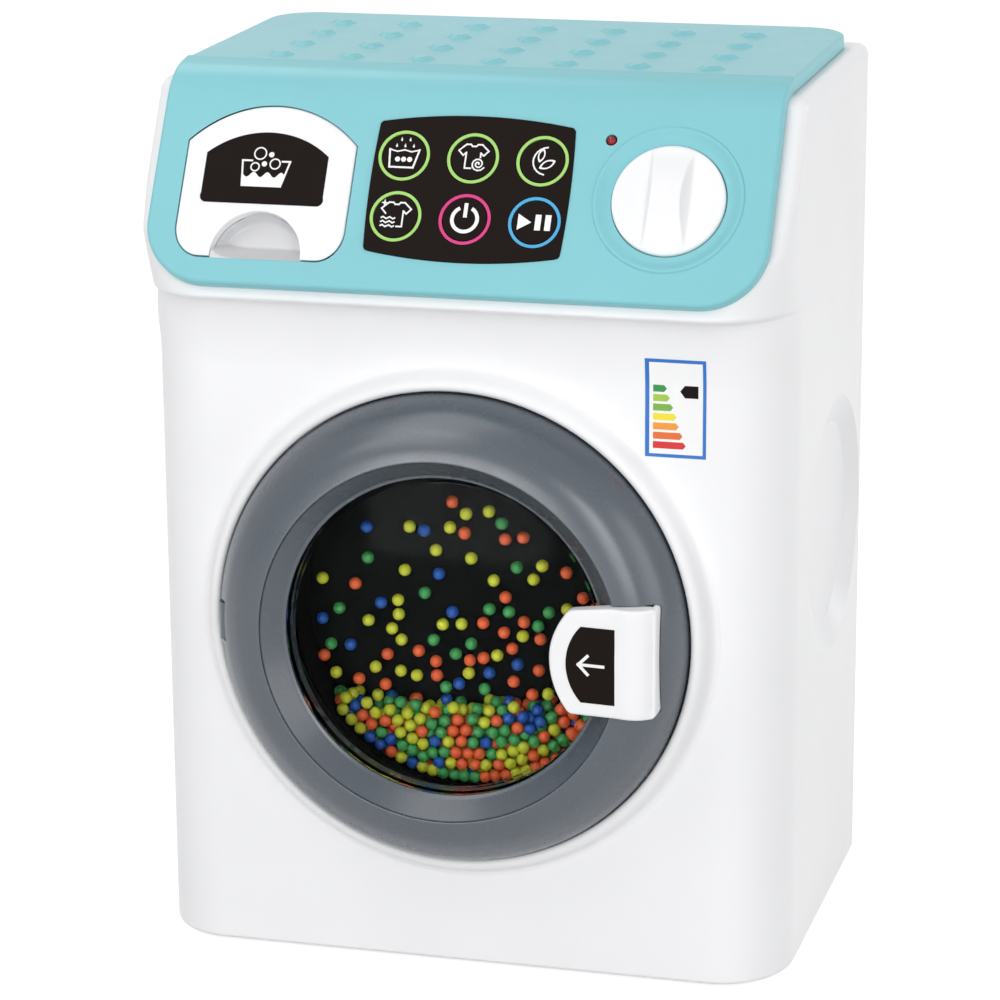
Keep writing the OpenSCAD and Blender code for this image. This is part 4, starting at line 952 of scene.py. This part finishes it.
def scoop_shell(seg=96):
    """The pale hollow of the scoop, closed behind."""
    rows = []
    for rad in [0.0, *np.linspace(0.8, 12.8, 22), *np.linspace(13.0, 15.2, 14)]:
        row = []
        for k in range(seg + 1):
            a = math.pi * k / seg
            x, y = rad * math.cos(a), rad * math.sin(a) - 0.9 * (1 - math.sin(a))
            row.append((x, y, -scoop_depth(x, y)))
        rows.append(row)
    border = [(x * 1.03, y * 1.03) for x, y, _ in rows[-1]]
    rows.append([(x, y, -3.6) for x, y in border])
    rows.append([(x, y, SCOOP_BACK) for x, y in border])
    rows.append([(0, 0, SCOOP_BACK)] * (seg + 1))
    o = mesh_of("scoop_shell", placed(rows, SCOOP), strips(rows, False), "drawer_grey")
    with edited(o) as b:
        bmesh.ops.remove_doubles(b, verts=b.verts, dist=1e-6)
        bmesh.ops.holes_fill(b, edges=[e for e in b.edges if e.is_boundary])
        bmesh.ops.triangulate(b, faces=[f for f in b.faces if len(f.verts) > 4])
        bmesh.ops.recalc_face_normals(b, faces=b.faces)
    shade(o, 50)
    return o


front = cap_form("drawer_face", outline_drawer(0.0), (0, 9), lambda x, y: 0.45,
                 lambda x, y: -3.0, at_drawer, 0.7, "shell_white")
boolean(front, [disc_cut("scoop_cut", SCOOP_R, -6, 3, SCOOP, 128)], angle=40)
clean(front)
scoop = scoop_shell()
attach(scoop, "drawer")
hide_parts("drawer_grip")
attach(front, "drawer")
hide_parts("drawer_front")

# ---- sticker on the front
STICK_X, STICK_W, STICK_TOP, STICK_H = 62.1, 19.7, 209.6, 32.0
BAR_LEFT, BAR_TOP, BAR_PITCH, BAR_H, BAR_TIP = 0.13, 0.268, 0.0955, 0.07, 0.045
FIELD_LIFT, PRINT_LIFT = 0.15, 0.18
BARS = ((0.355, (24, 140, 62), "bead_green"), (0.404, (158, 196, 66), "ring_green"),
        (0.459, (118, 172, 62), "ring_green"), (0.516, (240, 222, 44), "bead_yellow"),
        (0.552, (238, 152, 42), "bead_orange"), (0.615, (226, 108, 38), "bead_orange"),
        (0.669, (212, 30, 36), "lamp_red"))


def sticker_form(name, outline, lift, slot, material=None, thick=0.05):
    """A printed patch on the casing front, its outline in parts of the sticker's size."""
    pts = []
    for (u0, v0), (u1, v1) in zip(outline, outline[1:] + outline[:1]):
        cuts = max(1, int(abs(v1 - v0) / 0.03))
        pts += [(u0 + (u1 - u0) * k / cuts, v0 + (v1 - v0) * k / cuts) for k in range(cuts)]

    def at(u, v, h):
        z = STICK_TOP - STICK_H * v
        return (STICK_X + STICK_W * u, outer_y(z - RISE) - h, z)
    rows = [[(u, v, h) for u, v in pts] for h in (lift, lift - thick)]
    o = mesh_of(name, placed(rows, at), strips(rows) + ends(rows, 1))
    with edited(o) as b:
        bmesh.ops.triangulate(b, faces=b.faces, ngon_method="EAR_CLIP")
        bmesh.ops.recalc_face_normals(b, faces=b.faces)
    o.data.materials.append(material or MAT[slot])
    shade(o, 30)
    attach(o, "casing")
    return o


base = sticker_form("sticker_frame", [(0, 0), (1, 0), (1, 1), (0, 1)], 0.12, "sticker_blue",
                    thick=0.13)
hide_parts("front_sticker")
sticker_form("sticker_field", [(0.07, 0.035), (0.945, 0.035), (0.945, 0.965), (0.07, 0.965)],
             FIELD_LIFT, "print_white")
for k, (tip_u, rgb, slot) in enumerate(BARS):
    v0 = BAR_TOP + BAR_PITCH * k
    bar = [(BAR_LEFT, v0), (tip_u - BAR_TIP, v0), (tip_u, v0 + BAR_H / 2),
           (tip_u - BAR_TIP, v0 + BAR_H), (BAR_LEFT, v0 + BAR_H)]
    sticker_form(f"sticker_bar_{k + 1}", bar, PRINT_LIFT, slot,
                 plastic(f"ink_{k + 1}", rgb, 0.4, 0.15))
sticker_form("sticker_pointer",
             [(0.573, 0.325), (0.65, 0.265), (0.87, 0.265), (0.87, 0.39), (0.65, 0.39)],
             PRINT_LIFT, "key_black")

# ---- play beads
BEAD_R = 2.2
BEAD_GAP = 4.45  # between the middles of loose beads
CHAMBER_R = 57.9 - BEAD_R
CHAMBER_Y = (7.25 + BEAD_R, 22.1 - BEAD_R)
HEAP_BEADS, LOOSE_BEADS = 440, 95
SINK, SLOW_SINK, DRIFT, PUSH = 0.25, 0.05, 0.02, 0.8  # in each step of the settling


def settle():
    """Beads dropped behind the disc and pushed apart until they hardly overlap."""
    rng = np.random.default_rng(7)
    n, rad, (y0, y1) = HEAP_BEADS, CHAMBER_R, CHAMBER_Y
    x = rng.uniform(-46, 48, n)
    z = rng.uniform(-54, -18, n)
    y = rng.uniform(y0, y1, n)
    p = np.stack([x, y, z], 1)
    for step in range(140):
        p[:, 2] -= SINK if step < 100 else SLOW_SINK
        p[:, 0] += DRIFT
        for _ in range(2):
            d = p[:, None, :] - p[None, :, :]
            dist = np.sqrt((d ** 2).sum(2)) + np.eye(n) * 99
            close = dist < 2 * BEAD_R
            push = np.where(close, (2 * BEAD_R - dist) / 2, 0)[..., None] * d / dist[..., None]
            p += push.sum(1) * PUSH
            rr = np.hypot(p[:, 0], p[:, 2])
            over = rr > rad
            p[over, 0] *= rad / rr[over]
            p[over, 2] *= rad / rr[over]
            p[:, 1] = np.clip(p[:, 1], y0, y1)
    # single beads that cling to the disc, fewer the higher they are
    loose = []
    while len(loose) < LOOSE_BEADS:
        lx, lz = rng.uniform(-50, 50), rng.uniform(-26, 40)
        if math.hypot(lx, lz) > rad - 0.5:
            continue
        share = math.exp(-(lz + 24) / 22) * (1.15 if lx > 5 else 0.62)
        if rng.random() > share + (0.04 if lx > -20 else 0.02):
            continue
        q = np.array([lx, y0 + rng.uniform(0, 0.6), lz])
        if any(np.linalg.norm(q - np.array(o)) < BEAD_GAP for o in loose):
            continue
        if np.sqrt(((p - q) ** 2).sum(1)).min() < BEAD_GAP:
            continue
        loose.append(tuple(q))
    return p, np.array(loose)


def bead_mesh(name, spots, slot):
    """One mesh of all beads of a colour, each slightly out of round."""
    b = bmesh.new()
    bmesh.ops.create_icosphere(b, subdivisions=2, radius=BEAD_R * MM)
    ball = np.array([v.co[:] for v in b.verts])
    tri = np.array([[v.index for v in f.verts] for f in b.faces])
    b.free()
    rng = np.random.default_rng(len(spots))
    verts, faces = [], []
    for i, (x, y, z) in enumerate(spots):
        verts.append(ball * (1 + rng.normal(0, 0.012, 3)) + np.array(P(x, y, DOOR_Z + z)))
        faces.append(tri + i * len(ball))
    me = bpy.data.meshes.new(name)
    me.from_pydata(np.concatenate(verts).tolist(), [], np.concatenate(faces).tolist())
    me.materials.append(MAT[slot])
    me.shade_smooth()
    o = add_object(name, me)
    sub = o.modifiers.new("round", "SUBSURF")
    sub.levels = sub.render_levels = 1
    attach(o, "casing")
    return o


# shares of the four colours in the heap, and among loose beads at the right and at the left
IN_HEAP = (0.29, 0.31, 0.24, 0.16)
AT_RIGHT, AT_LEFT = (0.2, 0.5, 0.17, 0.13), (0.4, 0.2, 0.22, 0.18)
heap, loose = settle()
rng = np.random.default_rng(23)
pick = rng.choice(4, len(heap), p=IN_HEAP)
pick_l = np.array([rng.choice(4, p=AT_RIGHT if q[0] > 12 else AT_LEFT) for q in loose])
for k, c in enumerate(BEAD_RGB):
    spots = np.concatenate([heap[pick == k], loose[pick_l == k]])
    o = bead_mesh("beads_" + c + "_filling", spots, "bead_" + c)
    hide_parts("beads_" + c)

# ---- camera
CAM_AZ, CAM_EL, CAM_ROLL = 0.2669, 0.26332, -0.0059
CAM_LENS, CAM_FAR = 133.07, 1.18685
TARGET = Vector((0.01442, -0.05505, 0.16105))
back = Vector((math.sin(CAM_AZ) * math.cos(CAM_EL), -math.cos(CAM_AZ) * math.cos(CAM_EL),
               math.sin(CAM_EL)))
right = Vector((math.cos(CAM_AZ), math.sin(CAM_AZ), 0.0))
up = back.cross(right)
rolled_right = right * math.cos(CAM_ROLL) + up * math.sin(CAM_ROLL)
rolled_up = up * math.cos(CAM_ROLL) - right * math.sin(CAM_ROLL)
cam = bpy.data.cameras.new("camera")
cam.sensor_width = 36.0
cam.lens = CAM_LENS
cam.clip_start, cam.clip_end = 0.01, 20
eye = add_object("camera", cam)
eye.matrix_world = (Matrix.Translation(TARGET + back * CAM_FAR)
                    @ Matrix((rolled_right, rolled_up, back)).transposed().to_4x4())
bpy.context.scene.camera = eye

# ---- floor and light
FLOOR_HALF, FLOOR_GREY, FLOOR_LIFT = 4, 0.6, 0.75
WORLD_LIGHT = 0.39


def direct_rays(tree):
    """1 for what the camera sees straight, in gloss or through the window, and else 0."""
    path = tree.nodes.new("ShaderNodeLightPath")
    fac = path.outputs["Is Camera Ray"]
    for kind in ("Is Glossy Ray", "Is Transmission Ray"):
        either = tree.nodes.new("ShaderNodeMath")
        either.operation = "MAXIMUM"
        tree.links.new(fac, either.inputs[0])
        tree.links.new(path.outputs[kind], either.inputs[1])
        fac = either.outputs[0]
    return fac


def floor_white():
    """Pale floor that keeps its shadows; a glow lifts it to the background for direct rays."""
    m = bpy.data.materials.new("floor_white")
    m.use_nodes = True
    t = m.node_tree
    p = t.nodes["Principled BSDF"]
    p.inputs["Base Color"].default_value = (FLOOR_GREY, FLOOR_GREY, FLOOR_GREY, 1)
    p.inputs["Roughness"].default_value = 0.8
    p.inputs["Specular IOR Level"].default_value = 0.1
    glow = t.nodes.new("ShaderNodeEmission")
    glow.inputs["Color"].default_value = (1, 1, 1, 1)
    lift = t.nodes.new("ShaderNodeMath")
    lift.operation = "MULTIPLY"
    lift.inputs[1].default_value = FLOOR_LIFT
    total = t.nodes.new("ShaderNodeAddShader")
    t.links.new(direct_rays(t), lift.inputs[0])
    t.links.new(lift.outputs[0], glow.inputs["Strength"])
    t.links.new(p.outputs[0], total.inputs[0])
    t.links.new(glow.outputs[0], total.inputs[1])
    t.links.new(total.outputs[0], t.nodes["Material Output"].inputs["Surface"])
    return m


def studio():
    """World that lights the object dimly and shows as white to direct rays."""
    world = bpy.data.worlds.new("studio")
    bpy.context.scene.world = world
    world.use_nodes = True
    t = world.node_tree
    t.nodes.clear()
    out = t.nodes.new("ShaderNodeOutputWorld")
    mix = t.nodes.new("ShaderNodeMixShader")
    t.links.new(direct_rays(t), mix.inputs["Fac"])
    for socket, colour, strength in ((1, (0.985, 0.99, 1.0, 1), WORLD_LIGHT),
                                     (2, (1, 1, 1, 1), 1.0)):
        sky = t.nodes.new("ShaderNodeBackground")
        sky.inputs["Color"].default_value = colour
        sky.inputs["Strength"].default_value = strength
        t.links.new(sky.outputs[0], mix.inputs[socket])
    t.links.new(mix.outputs[0], out.inputs["Surface"])


def lamp(name, place, target, size, power):
    """A soft rectangular lamp that points at its target."""
    d = bpy.data.lights.new(name, "AREA")
    d.shape = "RECTANGLE"
    d.size, d.size_y = size
    d.energy = power
    o = add_object(name, d)
    o.location = place
    o.rotation_mode = "QUATERNION"
    o.rotation_quaternion = (Vector(target) - Vector(place)).to_track_quat("-Z", "Y")


me = bpy.data.meshes.new("floor")
me.from_pydata([(x * FLOOR_HALF, y * FLOOR_HALF, 0)
                for x, y in ((-1, -1), (1, -1), (1, 1), (-1, 1))], [], [(0, 1, 2, 3)])
me.materials.append(floor_white())
floor = add_object("floor", me)
studio()
lamp("key", (-0.55, -1.0, 1.05), (0, 0, 0.16), (0.7, 0.7), 2.7)
lamp("overhead", (-0.3, -0.45, 1.35), (0, 0, 0.16), (0.7, 0.9), 2.6)
lamp("right", (0.8, -1.35, 0.5), (0, 0, 0.15), (0.5, 0.9), 5.0)
lamp("front", (-0.35, -1.6, 0.1), (0, 0, 0.08), (0.8, 0.8), 9.6)
lamp("fill", (1.35, -0.45, 0.5), (0, 0, 0.15), (0.7, 0.9), 2.9)
lamp("back", (1.1, 0.95, 0.6), (0, 0, 0.15), (0.6, 0.6), 4.4)
lamp("top", (-0.5, 0.55, 1.3), (0, 0, 0.28), (0.45, 0.45), 2.9)

bpy.context.scene.view_settings.view_transform = "Standard"
